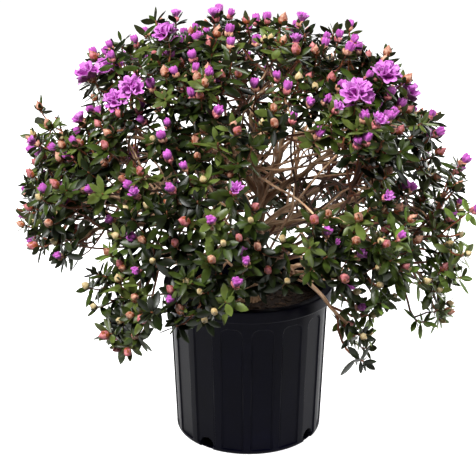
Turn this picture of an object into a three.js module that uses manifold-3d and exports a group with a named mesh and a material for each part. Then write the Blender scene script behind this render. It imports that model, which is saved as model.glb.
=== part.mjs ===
// Potted rhododendron: a fluted black nursery pot, its potting mix, a short leaning trunk, boughs,
// and a crown of leafy masses whose shoots end in whorls of leaves round a bud or a bloom.
// Millimetres, +Z up, origin at the middle of the pot's underside. Bearings are in degrees from +X
// towards +Y, so 270 is the front of the plant.
import * as THREE from "three";
import { mergeVertices } from "three/addons/utils/BufferGeometryUtils.js";
import Module from "manifold-3d";

const wasm = await Module();
wasm.setup();

// The pot: a tapered wall with recessed panels, a turned-down lip and drain holes in the foot corner.
const POT = {
  height: 245,
  footRadius: 114.5,
  footRound: 5,
  shoulderRadius: 123,
  wall: 5,
  floor: 5,
  sides: 40,
  lipRadius: 133,
  lipDepth: 19,
  lipWall: 2.6,
  lipRound: 2.5,
  panels: 16,
  panelTurn: 9.75,
  panelWidth: 35,
  panelRound: 9,
  panelFoot: 7,
  panelTop: 212,
  panelDepth: 3,
  drainEvery: 4,
  drainTurn: 54.75,
  drainRadius: 12,
  drainHeight: 6,
};

// The potting mix fills the pot to a little below the lip and rises gently to the trunk.
const SOIL = { height: 212, edgeHeight: 204, crestRadius: 45, sides: 32 };

// Pieces that rest on each other keep this gap, and slivers thinner than this are smoothed away.
const SEAT_GAP = 0.3;
const SLIVER = 0.15;

// The trunk leans from its flared foot to its fork.
const GROUND = SOIL.height + SEAT_GAP;
const TRUNK = {
  foot: new THREE.Vector3(0, 0, GROUND),
  tip: new THREE.Vector3(22, 4, 398),
  bow: 6,
  footRadius: 14,
  tipRadius: 9,
  flareRadius: 22,
  flareHeight: 22,
  sides: 10,
  steps: 8,
};

// A bough leaves the trunk at a share of its fan's height and thins towards its tip.
const BOUGH = {
  leaveShare: 0.42,
  leaveAtLeast: 20,
  leaveStagger: 26,
  footRadius: 5.4,
  tipRadius: 4.2,
  startRise: 48,
  startReach: 0.4,
  endReach: 0.34,
  stopShort: 84,
  sides: 5,
  steps: 5,
};

// Each bough carries a fan of masses: one at its middle, a pair across it, or three in a ring.
// bearing, reach and height place the fan's middle; spread is the masses' distance from it; tilt is
// the fan's turn in the crown's surface, from level, seen from outside.
const BOUGHS = [
  { name: "left_arm", bearing: 181, reach: 304, height: 412, masses: 2, spread: 46, tilt: 100 },
  { name: "left_front", bearing: 206, reach: 282, height: 390, masses: 2, spread: 52, tilt: 85 },
  { name: "front_left", bearing: 232, reach: 252, height: 346, masses: 2, spread: 62, tilt: 64 },
  { name: "front", bearing: 258, reach: 248, height: 388, masses: 2, spread: 66, tilt: 92 },
  { name: "front_right", bearing: 291, reach: 238, height: 346, masses: 2, spread: 52, tilt: 22 },
  { name: "hanging", bearing: 315, reach: 208, height: 226, masses: 1, spread: 0, tilt: 0 },
  { name: "right_front", bearing: 319, reach: 228, height: 414, masses: 2, spread: 76, tilt: 84 },
  { name: "right_low", bearing: 347, reach: 284, height: 316, masses: 2, spread: 58, tilt: 90 },
  { name: "right_arm", bearing: 14, reach: 270, height: 402, masses: 2, spread: 58, tilt: 90 },
  { name: "back_right", bearing: 52, reach: 268, height: 368, masses: 3, spread: 74, tilt: 90 },
  { name: "back", bearing: 97, reach: 268, height: 362, masses: 3, spread: 74, tilt: 90 },
  { name: "back_left", bearing: 144, reach: 280, height: 372, masses: 3, spread: 74, tilt: 90 },
  { name: "high_left", bearing: 192, reach: 215, height: 522, masses: 2, spread: 70, tilt: -25 },
  { name: "high_front", bearing: 266, reach: 152, height: 540, masses: 2, spread: 72, tilt: 0 },
  { name: "high_right", bearing: 338, reach: 195, height: 522, masses: 2, spread: 72, tilt: 20 },
  { name: "high_back", bearing: 92, reach: 148, height: 550, masses: 2, spread: 80, tilt: 0 },
  { name: "top_left", bearing: 200, reach: 100, height: 594, masses: 2, spread: 62, tilt: 160 },
  { name: "top_right", bearing: 356, reach: 76, height: 598, masses: 2, spread: 64, tilt: 62 },
];

// The masses face away from the heart of the crown, whose surface curves at this radius.
const HEART = new THREE.Vector3(-10, 0, 330);
const CROWN_CURVE = 210;
const UP = new THREE.Vector3(0, 0, 1);

// A mass: one stem from the bough's tip, with shoots to whorls that fill a patch of the crown.
const MASS = {
  whorls: 3,
  patchRadius: 58,
  patchUneven: 12,
  drawIn: [1, 0.75, 0.5],
  stemRadius: 2.0,
  stemTipRadius: 1.8,
  stemOffset: 2.7,
  shootRadius: 0.9,
  shootTipRadius: 0.9,
  shootLead: 0.4,
  shootSpan: 0.6,
  spaceMargin: 0.6,
  limbMargin: 1.2,
  potMargin: 4,
  twigSides: 3,
  stemSteps: 2,
  shootSteps: 1,
};

// Leaves stand in a whorl round each bud, larger than life because they are fewer.
const LEAF = {
  length: 62,
  lengthUneven: 9,
  slimness: 0.4,
  widestAt: 0.52,
  fold: 2,
  droop: 2,
  cutBack: [1, 0.78, 0.58, 0.26],
  clearance: 7,
};
const WHORL = {
  leaves: 6,
  hub: 1.3,
  foot: 3.5,
  room: 15,
  lowest: -6,
  highest: 38,
  unevenTurn: 12,
  faceOut: 0.6,
  faceUp: 0.5,
  faceAside: 0.35,
};

// A bud is a pointed cone in the whorl's middle, and an open truss of bloom is a round head over it.
const BUD = { radius: 5.5, length: 14 };
const BLOOM = { radius: 16, stand: 24, highShare: 0.24, lowShare: 0.06, lowHeight: 280, highHeight: 600 };

// Finishes.
const BLACK_PLASTIC = new THREE.MeshStandardMaterial({ color: 0x17171c, roughness: 0.45, metalness: 0 });
const POTTING_MIX = new THREE.MeshStandardMaterial({ color: 0x2a1d14, roughness: 1, metalness: 0 });
const BARK = new THREE.MeshStandardMaterial({ color: 0x80664e, roughness: 0.9, metalness: 0 });
const FOLIAGE = new THREE.MeshStandardMaterial({ color: 0x3a4a22, roughness: 0.5, metalness: 0 });

const GOLDEN_TURN = Math.PI * (3 - Math.sqrt(5));
const radians = THREE.MathUtils.degToRad;

// Repeatable numbers from 0 to 1.
function seededRandom(seed) {
  let state = seed >>> 0;
  return () => {
    state = (state + 0x6d2b79f5) >>> 0;
    let mixed = Math.imul(state ^ (state >>> 15), state | 1);
    mixed ^= mixed + Math.imul(mixed ^ (mixed >>> 7), mixed | 61);
    return ((mixed ^ (mixed >>> 14)) >>> 0) / 4294967296;
  };
}

// A closed geometry as a solid that can be joined and cut.
function solidFrom(geometry) {
  const bare = geometry.clone();
  bare.deleteAttribute("normal");
  bare.deleteAttribute("uv");
  const merged = mergeVertices(bare, 1e-4);
  const corners = merged.index.array;
  const kept = [];
  for (let i = 0; i < corners.length; i += 3) {
    const [a, b, c] = [corners[i], corners[i + 1], corners[i + 2]];
    if (a !== b && b !== c && c !== a) kept.push(a, b, c);
  }
  const vertProperties = merged.attributes.position.array;
  const triVerts = new Uint32Array(kept);
  return new wasm.Manifold(new wasm.Mesh({ numProp: 3, vertProperties, triVerts }));
}

// A solid as a geometry with flat facets.
function geometryFrom(solid) {
  const mesh = solid.getMesh();
  const geometry = new THREE.BufferGeometry();
  geometry.setAttribute("position", new THREE.BufferAttribute(mesh.vertProperties, 3));
  geometry.setIndex(new THREE.BufferAttribute(mesh.triVerts, 1));
  const faceted = geometry.toNonIndexed();
  faceted.computeVertexNormals();
  return faceted;
}

// The largest outer body of a solid: loose scraps go, and sealed hollows are filled.
function mainBody(solid) {
  const bodies = solid.decompose();
  return bodies.reduce((best, body) => (body.volume() > best.volume() ? body : best));
}

// A round section that tapers along a curve, closed at both ends.
function taperedLimb(curve, footRadius, tipRadius, sides, steps) {
  const geometry = new THREE.CylinderGeometry(tipRadius, footRadius, 1, sides, steps);
  const frames = curve.computeFrenetFrames(steps, false);
  const place = geometry.attributes.position;
  for (let i = 0; i < place.count; i++) {
    const share = place.getY(i) + 0.5;
    const ring = Math.round(share * steps);
    const point = curve.getPointAt(ring / steps);
    point.addScaledVector(frames.binormals[ring], place.getX(i));
    point.addScaledVector(frames.normals[ring], place.getZ(i));
    place.setXYZ(i, point.x, point.y, point.z);
  }
  return geometry;
}

function meshOf(name, geometry, material) {
  const mesh = new THREE.Mesh(geometry, material.clone());
  mesh.name = name;
  return mesh;
}

// Turns a profile of [radius, height] pairs round the Z axis.
function turned(profile, sides) {
  const points = profile.map(([radius, height]) => new THREE.Vector2(radius, height));
  return new THREE.LatheGeometry(points, sides).rotateX(Math.PI / 2);
}

// Outer radius of the pot's wall at a height.
function wallRadius(height) {
  const { footRadius, shoulderRadius } = POT;
  const share = height / (POT.height - POT.lipDepth);
  return footRadius + (shoulderRadius - footRadius) * share;
}

// Outline of the pot's wall, its turned-down lip and its inside, from the axis round to the axis.
function potProfile() {
  const { height, footRadius, footRound, wall, floor, lipRadius, lipDepth, lipWall, lipRound } = POT;
  const lipFoot = height - lipDepth;
  const underLip = height - lipWall;
  const inside = wallRadius(height) - wall;
  return [
    [0, 0],
    [footRadius - footRound, 0],
    [footRadius - footRound * 0.3, footRound * 0.3],
    [wallRadius(footRound), footRound],
    [wallRadius(lipFoot), lipFoot],
    [wallRadius(underLip), underLip],
    [lipRadius - lipWall, underLip],
    [lipRadius - lipWall, lipFoot],
    [lipRadius, lipFoot],
    [lipRadius, height - lipRound],
    [lipRadius - lipRound, height],
    [inside + lipRound, height],
    [inside, height - lipRound],
    [wallRadius(floor) - wall, floor],
    [0, floor],
  ];
}

// One flat recess with a round top, as the block that cuts it out of the wall.
function panelCutter(turn) {
  const { panelWidth, panelRound, panelFoot, panelTop, panelDepth } = POT;
  const half = panelWidth / 2;
  const outline = new THREE.Shape();
  outline.moveTo(-half, panelFoot);
  outline.lineTo(half, panelFoot);
  outline.lineTo(half, panelTop - panelRound);
  outline.absarc(half - panelRound, panelTop - panelRound, panelRound, 0, Math.PI / 2);
  outline.absarc(panelRound - half, panelTop - panelRound, panelRound, Math.PI / 2, Math.PI);
  const lean = Math.atan2(POT.shoulderRadius - POT.footRadius, POT.height - POT.lipDepth);
  const block = { depth: POT.wall * 2, bevelEnabled: false, curveSegments: 2 };
  const cutter = new THREE.ExtrudeGeometry(outline, block);
  cutter.rotateX(Math.PI / 2 + lean);
  cutter.rotateZ(Math.PI);
  cutter.translate(0, POT.footRadius - panelDepth, 0);
  cutter.rotateZ(turn - Math.PI / 2);
  return solidFrom(cutter);
}

// A drain hole through the wall at the foot corner.
function drainCutter(turn) {
  const reach = POT.wall * 6;
  const cutter = new THREE.CylinderGeometry(POT.drainRadius, POT.drainRadius, reach, 10);
  cutter.translate(0, POT.footRadius, POT.drainHeight);
  cutter.rotateZ(turn - Math.PI / 2);
  return solidFrom(cutter);
}

function makePot() {
  let pot = solidFrom(turned(potProfile(), POT.sides));
  for (let i = 0; i < POT.panels; i++) {
    const turn = radians(270 + POT.panelTurn + (i * 360) / POT.panels);
    pot = pot.subtract(panelCutter(turn));
  }
  const drains = POT.panels / POT.drainEvery;
  for (let i = 0; i < drains; i++) {
    pot = pot.subtract(drainCutter(radians(270 + POT.drainTurn + (i * 360) / drains)));
  }
  return meshOf("pot", geometryFrom(mainBody(pot)), BLACK_PLASTIC);
}

function makeSoil() {
  const inset = POT.wall + SEAT_GAP;
  const profile = [
    [0, POT.floor + SEAT_GAP],
    [wallRadius(POT.floor) - inset - SEAT_GAP, POT.floor + SEAT_GAP],
    [wallRadius(SOIL.edgeHeight) - inset - SEAT_GAP, SOIL.edgeHeight],
    [(wallRadius(SOIL.edgeHeight) + SOIL.crestRadius) / 2, (SOIL.edgeHeight + SOIL.height) / 2 + 1],
    [SOIL.crestRadius, SOIL.height],
    [0, SOIL.height],
  ];
  return meshOf("potting_mix", turned(profile, SOIL.sides), POTTING_MIX);
}

// The trunk's bowed line from foot to fork.
function trunkCurve() {
  const middle = TRUNK.foot.clone().lerp(TRUNK.tip, 0.5);
  middle.x -= TRUNK.bow;
  return new THREE.QuadraticBezierCurve3(TRUNK.foot, middle, TRUNK.tip);
}

// The trunk with its root flare, grown all round by swell.
function trunkSolid(swell) {
  const stem = taperedLimb(
    trunkCurve(),
    TRUNK.footRadius + swell,
    TRUNK.tipRadius + swell,
    TRUNK.sides,
    TRUNK.steps,
  );
  const flare = new THREE.CylinderGeometry(
    TRUNK.footRadius + swell,
    TRUNK.flareRadius + swell,
    TRUNK.flareHeight,
    TRUNK.sides,
  );
  flare.rotateX(Math.PI / 2);
  flare.translate(TRUNK.foot.x, TRUNK.foot.y, GROUND + TRUNK.flareHeight / 2);
  const level = new THREE.BoxGeometry(200, 200, 100).translate(0, 0, GROUND - 50);
  return solidFrom(stem).add(solidFrom(flare)).subtract(solidFrom(level));
}

// A point at a bearing, reach and height round the pot's axis.
function cylindrical(bearing, reach, height) {
  const turn = radians(bearing);
  return new THREE.Vector3(reach * Math.cos(turn), reach * Math.sin(turn), height);
}

// The crown's surface at a place: its outward direction, the level across it and the way up it.
function surfaceAt(place) {
  const out = place.clone().sub(HEART).normalize();
  const across = new THREE.Vector3().crossVectors(UP, out).normalize();
  const upward = new THREE.Vector3().crossVectors(out, across);
  return { out, across, upward };
}

// The middles of a bough's masses.
function fanPlaces(row) {
  const middle = cylindrical(row.bearing, row.reach, row.height);
  if (row.masses === 1) return [middle];
  const { across, upward } = surfaceAt(middle);
  const places = [];
  for (let i = 0; i < row.masses; i++) {
    const turn = radians(row.tilt + (i * 360) / row.masses);
    const place = middle.clone();
    place.addScaledVector(across, row.spread * Math.cos(turn));
    place.addScaledVector(upward, row.spread * Math.sin(turn));
    places.push(place);
  }
  return places;
}

// A bough's line: out of the trunk at a slant, then over towards its fan of masses.
function boughCurve(row, index) {
  const middle = cylindrical(row.bearing, row.reach, row.height);
  const stagger = BOUGH.leaveStagger * (((index * GOLDEN_TURN) / Math.PI) % 1);
  const rise = Math.max(BOUGH.leaveAtLeast, BOUGH.leaveShare * (row.height - GROUND)) + stagger;
  const leave = trunkCurve().getPointAt(Math.min(0.96, rise / (TRUNK.tip.z - GROUND)));
  const tip = middle.clone();
  const back = leave.clone().sub(middle);
  tip.addScaledVector(back.normalize(), BOUGH.stopShort);
  if (row.height < POT.height) tip.z = Math.max(tip.z, POT.height + BOUGH.stopShort / 3);
  const length = leave.distanceTo(tip);
  const slant = radians(BOUGH.startRise);
  const start = cylindrical(row.bearing, Math.cos(slant), Math.sin(slant));
  const finish = middle.clone().sub(tip).normalize();
  const first = leave.clone().addScaledVector(start, length * BOUGH.startReach);
  const second = tip.clone().addScaledVector(finish, -length * BOUGH.endReach);
  return new THREE.CubicBezierCurve3(leave, first, second, tip);
}

// A bough, grown all round by swell.
function boughSolid(curve, swell) {
  const { footRadius, tipRadius, sides, steps } = BOUGH;
  return solidFrom(taperedLimb(curve, footRadius + swell, tipRadius + swell, sides, steps));
}

// The lines of the stems that share a bough's tip, side by side on its end face.
function stemCurves(curve, places) {
  const tip = curve.getPointAt(1);
  const along = curve.getTangentAt(1);
  const offset = places.length === 1 ? 0 : MASS.stemOffset;
  return places.map((place) => {
    const aside = place.clone().sub(tip).projectOnPlane(along).normalize();
    const start = tip.clone().addScaledVector(along, SEAT_GAP).addScaledVector(aside, offset);
    const lead = start.distanceTo(place) * MASS.shootLead;
    const bend = start.clone().addScaledVector(along, lead);
    return new THREE.QuadraticBezierCurve3(start, bend, place);
  });
}

// A place at a share of the straight stretches that a limb's facets follow.
function onStretches(curve, steps, share) {
  const points = curve.getSpacedPoints(steps);
  const ring = Math.min(Math.floor(share * steps), steps - 1);
  return points[ring].clone().lerp(points[ring + 1], share * steps - ring);
}

// Straight stretches of a limb, with their radius, that leaves and shoots keep clear of.
function stretchesOf(curve, radius, steps) {
  const points = curve.getSpacedPoints(steps);
  return points.slice(1).map((end, i) => ({ line: new THREE.Line3(points[i], end), radius }));
}

// True if a place lies in the mass's own space: nearer its middle than any other mass's, off the pot.
function inOwnSpace(place, mass, middles) {
  const own = middles[mass];
  for (let i = 0; i < middles.length; i++) {
    if (i === mass) continue;
    const between = middles[i].clone().sub(own);
    const beyond = place.clone().sub(own).dot(between) / between.length() - between.length() / 2;
    if (beyond > -MASS.spaceMargin) return false;
  }
  const overPot = Math.hypot(place.x, place.y) < POT.lipRadius + MASS.potMargin;
  return !(overPot && place.z < POT.height + MASS.potMargin);
}

// True if a place keeps clear of every stretch of limb.
function clearOfLimbs(place, stretches) {
  const nearest = new THREE.Vector3();
  return stretches.every(({ line, radius }) => {
    line.closestPointToPoint(place, true, nearest);
    return nearest.distanceTo(place) > radius + MASS.limbMargin;
  });
}

// Places on a solid's corners and edges that tell whether it stays in its space.
function samplesOf(geometry) {
  const place = geometry.attributes.position;
  const corners = [];
  for (let i = 0; i < place.count; i++) corners.push(new THREE.Vector3().fromBufferAttribute(place, i));
  const following = (i) => corners[i - (i % 3) + ((i + 1) % 3)];
  return corners.concat(corners.map((corner, i) => corner.clone().lerp(following(i), 0.5)));
}

// The corners of one leaf of a whorl, from the whorl's middle: an edge, the tip and the other edge.
function leafCorners(radial, facing, lift, length) {
  const along = radial.clone().multiplyScalar(Math.cos(lift)).addScaledVector(facing, Math.sin(lift));
  const across = new THREE.Vector3().crossVectors(facing, radial);
  const above = new THREE.Vector3().crossVectors(along, across);
  const half = (LEAF.slimness * length) / 2;
  const widest = along.clone().multiplyScalar(length * LEAF.widestAt).addScaledVector(above, LEAF.fold);
  const tip = along.clone().multiplyScalar(length).addScaledVector(above, -LEAF.droop);
  return [widest.clone().addScaledVector(across, -half), tip, widest.clone().addScaledVector(across, half)];
}

// Places over one leaf of the whorl at a spot that tell whether it stays in its space.
function leafSamples([edge, tip, farEdge], spot) {
  const samples = [tip.clone()];
  for (const share of [0, 0.25, 0.5, 0.75, 1]) {
    const rib = edge.clone().lerp(farEdge, share);
    samples.push(rib, rib.clone().lerp(tip, 0.33), rib.clone().lerp(tip, 0.66));
    samples.push(rib.clone().multiplyScalar(0.66), rib.clone().multiplyScalar(0.33));
  }
  return samples.map((sample) => sample.add(spot));
}

// True if a place keeps clear of the leaves placed before.
function isFree(place, taken) {
  return taken.every((other) => other.distanceTo(place) > LEAF.clearance);
}

// The faces of a whorl's body. Corner 0 is the bud's tip and corner 1 the shoot's end; then each leaf
// has a notch above, a notch below, an edge, its tip and its other edge.
function whorlFaces(leaves) {
  const faces = [];
  for (let i = 0; i < leaves; i++) {
    const above = 2 + 5 * i;
    const [below, edge, tip, farEdge] = [above + 1, above + 2, above + 3, above + 4];
    const nextAbove = 2 + 5 * ((i + 1) % leaves);
    const nextBelow = nextAbove + 1;
    faces.push(0, above, nextAbove, 1, nextBelow, below);
    faces.push(above, edge, farEdge, above, farEdge, nextAbove, edge, tip, farEdge);
    faces.push(below, tip, edge, below, nextBelow, tip, tip, nextBelow, farEdge);
    faces.push(above, below, edge, nextAbove, farEdge, nextBelow);
  }
  return faces;
}

// A polyhedron whose corners lie at their own distances from its middle, moved to a spot.
function polyhedron(corners, faces, spot) {
  const flat = corners.flatMap((corner) => corner.toArray());
  const geometry = new THREE.PolyhedronGeometry(flat, faces, 1, 0);
  const place = geometry.attributes.position;
  const corner = new THREE.Vector3();
  for (let i = 0; i < place.count; i++) {
    corner.fromBufferAttribute(place, i);
    const nearer = (best, other) => (other.angleTo(corner) < best.angleTo(corner) ? other : best);
    const own = corners.reduce(nearer);
    place.setXYZ(i, own.x, own.y, own.z);
  }
  return geometry.translate(...spot.toArray());
}

// A whorl of leaves joined at their roots round a pointed bud. A leaf that would leave the mass's
// space, or touch a limb or a leaf placed before, is cut back until it fits.
function whorlGeometry(spot, facing, random, fits, taken) {
  const sideways = Math.abs(facing.x) < 0.7 ? new THREE.Vector3(1, 0, 0) : UP;
  const first = new THREE.Vector3().crossVectors(facing, sideways).normalize();
  const phase = random() * Math.PI * 2;
  const pitch = (Math.PI * 2) / WHORL.leaves;
  const corners = [facing.clone().multiplyScalar(BUD.length), facing.clone().multiplyScalar(-WHORL.foot)];
  const placed = [];
  for (let i = 0; i < WHORL.leaves; i++) {
    const notch = first.clone().applyAxisAngle(facing, phase + (i - 0.5) * pitch).multiplyScalar(BUD.radius);
    corners.push(notch.clone().addScaledVector(facing, WHORL.hub));
    corners.push(notch.clone().addScaledVector(facing, -WHORL.hub));
    const uneven = radians((random() - 0.5) * WHORL.unevenTurn);
    const radial = first.clone().applyAxisAngle(facing, phase + i * pitch + uneven);
    const lift = radians(THREE.MathUtils.lerp(WHORL.lowest, WHORL.highest, random()));
    const length = LEAF.length + (random() - 0.5) * 2 * LEAF.lengthUneven;
    const sizes = LEAF.cutBack.map((share) => leafCorners(radial, facing, lift, length * share));
    const whole = (leaf) => leafSamples(leaf, spot).every((sample) => fits(sample) && isFree(sample, taken));
    const leaf = sizes.find(whole) ?? sizes[sizes.length - 1];
    corners.push(...leaf);
    placed.push(...leafSamples(leaf, spot));
  }
  taken.push(...placed);
  return polyhedron(corners, whorlFaces(WHORL.leaves), spot);
}

// An open head of bloom on a whorl, more often high in the crown, or nothing where only the bud stands.
function bloomGeometry(spot, facing, random) {
  const height = (spot.z - BLOOM.lowHeight) / (BLOOM.highHeight - BLOOM.lowHeight);
  const share = THREE.MathUtils.lerp(BLOOM.lowShare, BLOOM.highShare, THREE.MathUtils.clamp(height, 0, 1));
  if (random() > share) return null;
  const middle = spot.clone().addScaledVector(facing, BLOOM.stand);
  return new THREE.IcosahedronGeometry(BLOOM.radius, 0).translate(...middle.toArray());
}

// The line of a shoot from the mass's stem to a spot on its patch, and the way the spot's whorl faces.
function shootTo(stem, surface, middle, turn, spread, uneven) {
  const { out, across, upward } = surface;
  const spot = middle.clone();
  spot.addScaledVector(across, spread * Math.cos(turn)).addScaledVector(upward, spread * Math.sin(turn));
  spot.addScaledVector(out, uneven - (spread * spread) / (2 * CROWN_CURVE));
  const facing = out.clone().multiplyScalar(WHORL.faceOut).addScaledVector(UP, WHORL.faceUp);
  facing.addScaledVector(spot.clone().sub(middle), WHORL.faceAside / MASS.patchRadius).normalize();
  const leave = onStretches(stem, MASS.stemSteps, 1 - (MASS.shootSpan * spread) / MASS.patchRadius);
  const bend = spot.clone().addScaledVector(facing, -leave.distanceTo(spot) * MASS.shootLead);
  return { line: new THREE.QuadraticBezierCurve3(leave, bend, spot), spot, facing };
}

// True if a shoot's outer part and the middle of its whorl stay in the mass's space.
function hasRoom({ line, spot }, fits) {
  const room = new THREE.OctahedronGeometry(WHORL.room, 0).translate(...spot.toArray());
  return line.getSpacedPoints(6).slice(2).concat(samplesOf(room)).every(fits);
}

// One leafy mass: its stem, and shoots from the stem to whorls spread over its patch of the crown. A
// whorl without room is drawn in towards the mass's middle, or left out.
function massSolid(index, stem, middles, stretches) {
  const random = seededRandom(index + 1);
  const middle = middles[index];
  const surface = surfaceAt(middle);
  const fits = (place) => inOwnSpace(place, index, middles) && clearOfLimbs(place, stretches);
  const pieces = [taperedLimb(stem, MASS.stemRadius, MASS.stemTipRadius, MASS.twigSides, MASS.stemSteps)];
  const taken = [];
  const phase = random() * Math.PI * 2;
  for (let i = 0; i < MASS.whorls; i++) {
    const turn = phase + i * GOLDEN_TURN;
    const spread = MASS.patchRadius * Math.sqrt((i + 0.5) / MASS.whorls);
    const uneven = (random() - 0.5) * 2 * MASS.patchUneven;
    const shoots = MASS.drawIn.map((share) => shootTo(stem, surface, middle, turn, spread * share, uneven));
    const shoot = shoots.find((each) => hasRoom(each, fits));
    if (!shoot) continue;
    const { line, spot, facing } = shoot;
    pieces.push(taperedLimb(line, MASS.shootRadius, MASS.shootTipRadius, MASS.twigSides, MASS.shootSteps));
    pieces.push(whorlGeometry(spot, facing, random, fits, taken));
    const bloom = bloomGeometry(spot, facing, random);
    if (bloom && samplesOf(bloom).every(fits)) pieces.push(bloom);
  }
  return mainBody(wasm.Manifold.union(pieces.map(solidFrom)).simplify(SLIVER));
}

function makePlant() {
  const plant = new THREE.Group();
  plant.add(makePot(), makeSoil());
  plant.add(meshOf("trunk", geometryFrom(trunkSolid(0)), BARK));

  let clearing = trunkSolid(SEAT_GAP);
  const boughs = BOUGHS.map((row, index) => {
    const curve = boughCurve(row, index);
    const places = fanPlaces(row);
    return { row, curve, places, stems: stemCurves(curve, places) };
  });
  const limbs = stretchesOf(trunkCurve(), TRUNK.footRadius, TRUNK.steps);
  for (const { row, curve } of boughs) {
    const seated = mainBody(boughSolid(curve, 0).subtract(clearing));
    clearing = clearing.add(boughSolid(curve, SEAT_GAP));
    plant.add(meshOf(`bough_${row.name}`, geometryFrom(seated), BARK));
    limbs.push(...stretchesOf(curve, BOUGH.footRadius, BOUGH.steps));
  }

  const middles = boughs.flatMap(({ places }) => places);
  const stems = boughs.flatMap((bough) => bough.stems);
  const names = boughs.flatMap(({ row, places }) => places.map((_, i) => `leaves_${row.name}_${i + 1}`));
  names.forEach((name, i) => {
    const others = stems.filter((_, j) => j !== i);
    const twigs = others.flatMap((stem) => stretchesOf(stem, MASS.stemRadius, MASS.stemSteps));
    const leaves = massSolid(i, stems[i], middles, limbs.concat(twigs));
    plant.add(meshOf(name, geometryFrom(leaves), FOLIAGE));
  });
  return plant;
}

export default makePlant();
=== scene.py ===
"""Potted rhododendron in bud and early bloom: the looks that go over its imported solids.

The plant grows here by the rule that shaped its solids, with trunk, boughs and one stem to each leafy
mass, and is carried on to sprays, shoots, whorls of leaves, buds and trusses. Sizes are in millimetres
and become metres where a mesh is made. Bearings are in degrees from +X towards +Y, so 270 is the front.
"""

import logging
import math
from dataclasses import dataclass, fields, replace
from enum import Enum
from typing import Dict, List, Optional, Sequence, Tuple

import bpy
import numpy as np
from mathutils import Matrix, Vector


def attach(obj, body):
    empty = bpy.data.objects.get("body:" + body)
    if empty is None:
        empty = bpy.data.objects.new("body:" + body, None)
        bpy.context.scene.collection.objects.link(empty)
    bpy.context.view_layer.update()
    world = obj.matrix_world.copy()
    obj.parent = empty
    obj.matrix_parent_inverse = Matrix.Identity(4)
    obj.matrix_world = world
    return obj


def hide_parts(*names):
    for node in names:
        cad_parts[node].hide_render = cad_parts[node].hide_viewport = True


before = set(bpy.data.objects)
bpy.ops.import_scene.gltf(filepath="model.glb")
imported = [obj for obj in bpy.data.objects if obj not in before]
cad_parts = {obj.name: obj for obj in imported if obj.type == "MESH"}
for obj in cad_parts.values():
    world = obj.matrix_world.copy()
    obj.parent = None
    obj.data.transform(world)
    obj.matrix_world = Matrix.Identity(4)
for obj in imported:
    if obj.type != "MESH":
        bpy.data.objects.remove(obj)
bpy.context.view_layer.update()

Array = np.ndarray
Colour = Tuple[int, int, int]
Point = Tuple[float, float, float]
Span = Tuple[float, float]
Stops = Tuple[Tuple[float, Colour], ...]
Socket = bpy.types.NodeSocket
Random = np.random.Generator
Grid = Tuple[int, int]

MM = 0.001
BODY = "root"
IMAGE_WIDTH = 476
IMAGE_HEIGHT = 459
GOLDEN_TURN = math.pi * (3.0 - math.sqrt(5.0))
FULL_TURN = 2.0 * math.pi
UP = np.array([0.0, 0.0, 1.0])
FRONT_BEARING = 270.0
SHARP_ANGLE = 60.0

log = logging.getLogger("rhododendron")


# Shapes from arrays

NO_LENGTH = 1e-9
STEEP = 0.9
ROUND_END = 0.5
GRAIN_APART = 37.0
SLOW_WAVES = (9.0, 8.0)
QUICK_WAVES = (21.0, 19.0)
QUICK_SHARE = 0.6
WAVE_SCALE = 0.6
WAVE_FADE = 0.8


def unit(vectors: Array) -> Array:
    """Vectors scaled to a length of one along their last axis."""
    return vectors / np.maximum(np.linalg.norm(vectors, axis=-1, keepdims=True), NO_LENGTH)


def blend(low: Array, high: Array, share: Array) -> Array:
    """The value at a share of the way from low to high."""
    return low + (high - low) * share


def smooth_step(values: Array) -> Array:
    """Zero below 0, one above 1, and an S-shaped rise between."""
    held = np.clip(values, 0.0, 1.0)
    return held * held * (3.0 - 2.0 * held)


def onset(values: Array, start: float, span: float) -> Array:
    """An S-shaped rise from zero at a start to one a span further on; a negative span leads down."""
    return smooth_step((values - start) / span)


def evenly_turned(columns: int) -> Array:
    """Angles of points that lie evenly round a ring, in radians."""
    return np.arange(columns) * FULL_TURN / columns


def axes_across(axis: Array) -> Tuple[Array, Array]:
    """Two unit vectors square to each axis and to each other.

    Args:
        axis: Unit vectors, shape (N, 3).

    Returns:
        First and second vectors, so that first x second = axis.
    """
    level = np.abs(axis[:, 2:3]) < STEEP
    helper = np.where(level, UP, np.array([1.0, 0.0, 0.0]))
    first = unit(np.cross(helper, axis))
    return first, np.cross(axis, first)


def turned(first: Array, second: Array, angle: Array) -> Array:
    """The direction at an angle from the first of two square vectors towards the second."""
    return first * np.cos(angle)[..., None] + second * np.sin(angle)[..., None]


def bezier(controls: Array, shares: Array) -> Array:
    """Points on Bezier curves: each control weighted by its Bernstein polynomial.

    Args:
        controls: Control points, shape (..., D + 1, 3).
        shares: Parameters from 0 to 1, shape (K,).

    Returns:
        Points, shape (..., K, 3).
    """
    degree = controls.shape[-2] - 1
    orders = np.arange(degree + 1)
    counts = np.array([math.comb(degree, int(order)) for order in orders])
    along = shares[:, None]
    weights = counts * along**orders * (1.0 - along) ** (degree - orders)
    return np.einsum("kd,...dc->...kc", weights, controls)


def repeated(faces: Array, copies: int, points_each: int) -> Array:
    """One body's faces repeated for a number of bodies whose points follow one another."""
    offsets = np.arange(copies)[:, None, None] * points_each
    return (faces[None] + offsets).reshape(-1, faces.shape[1])


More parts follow.
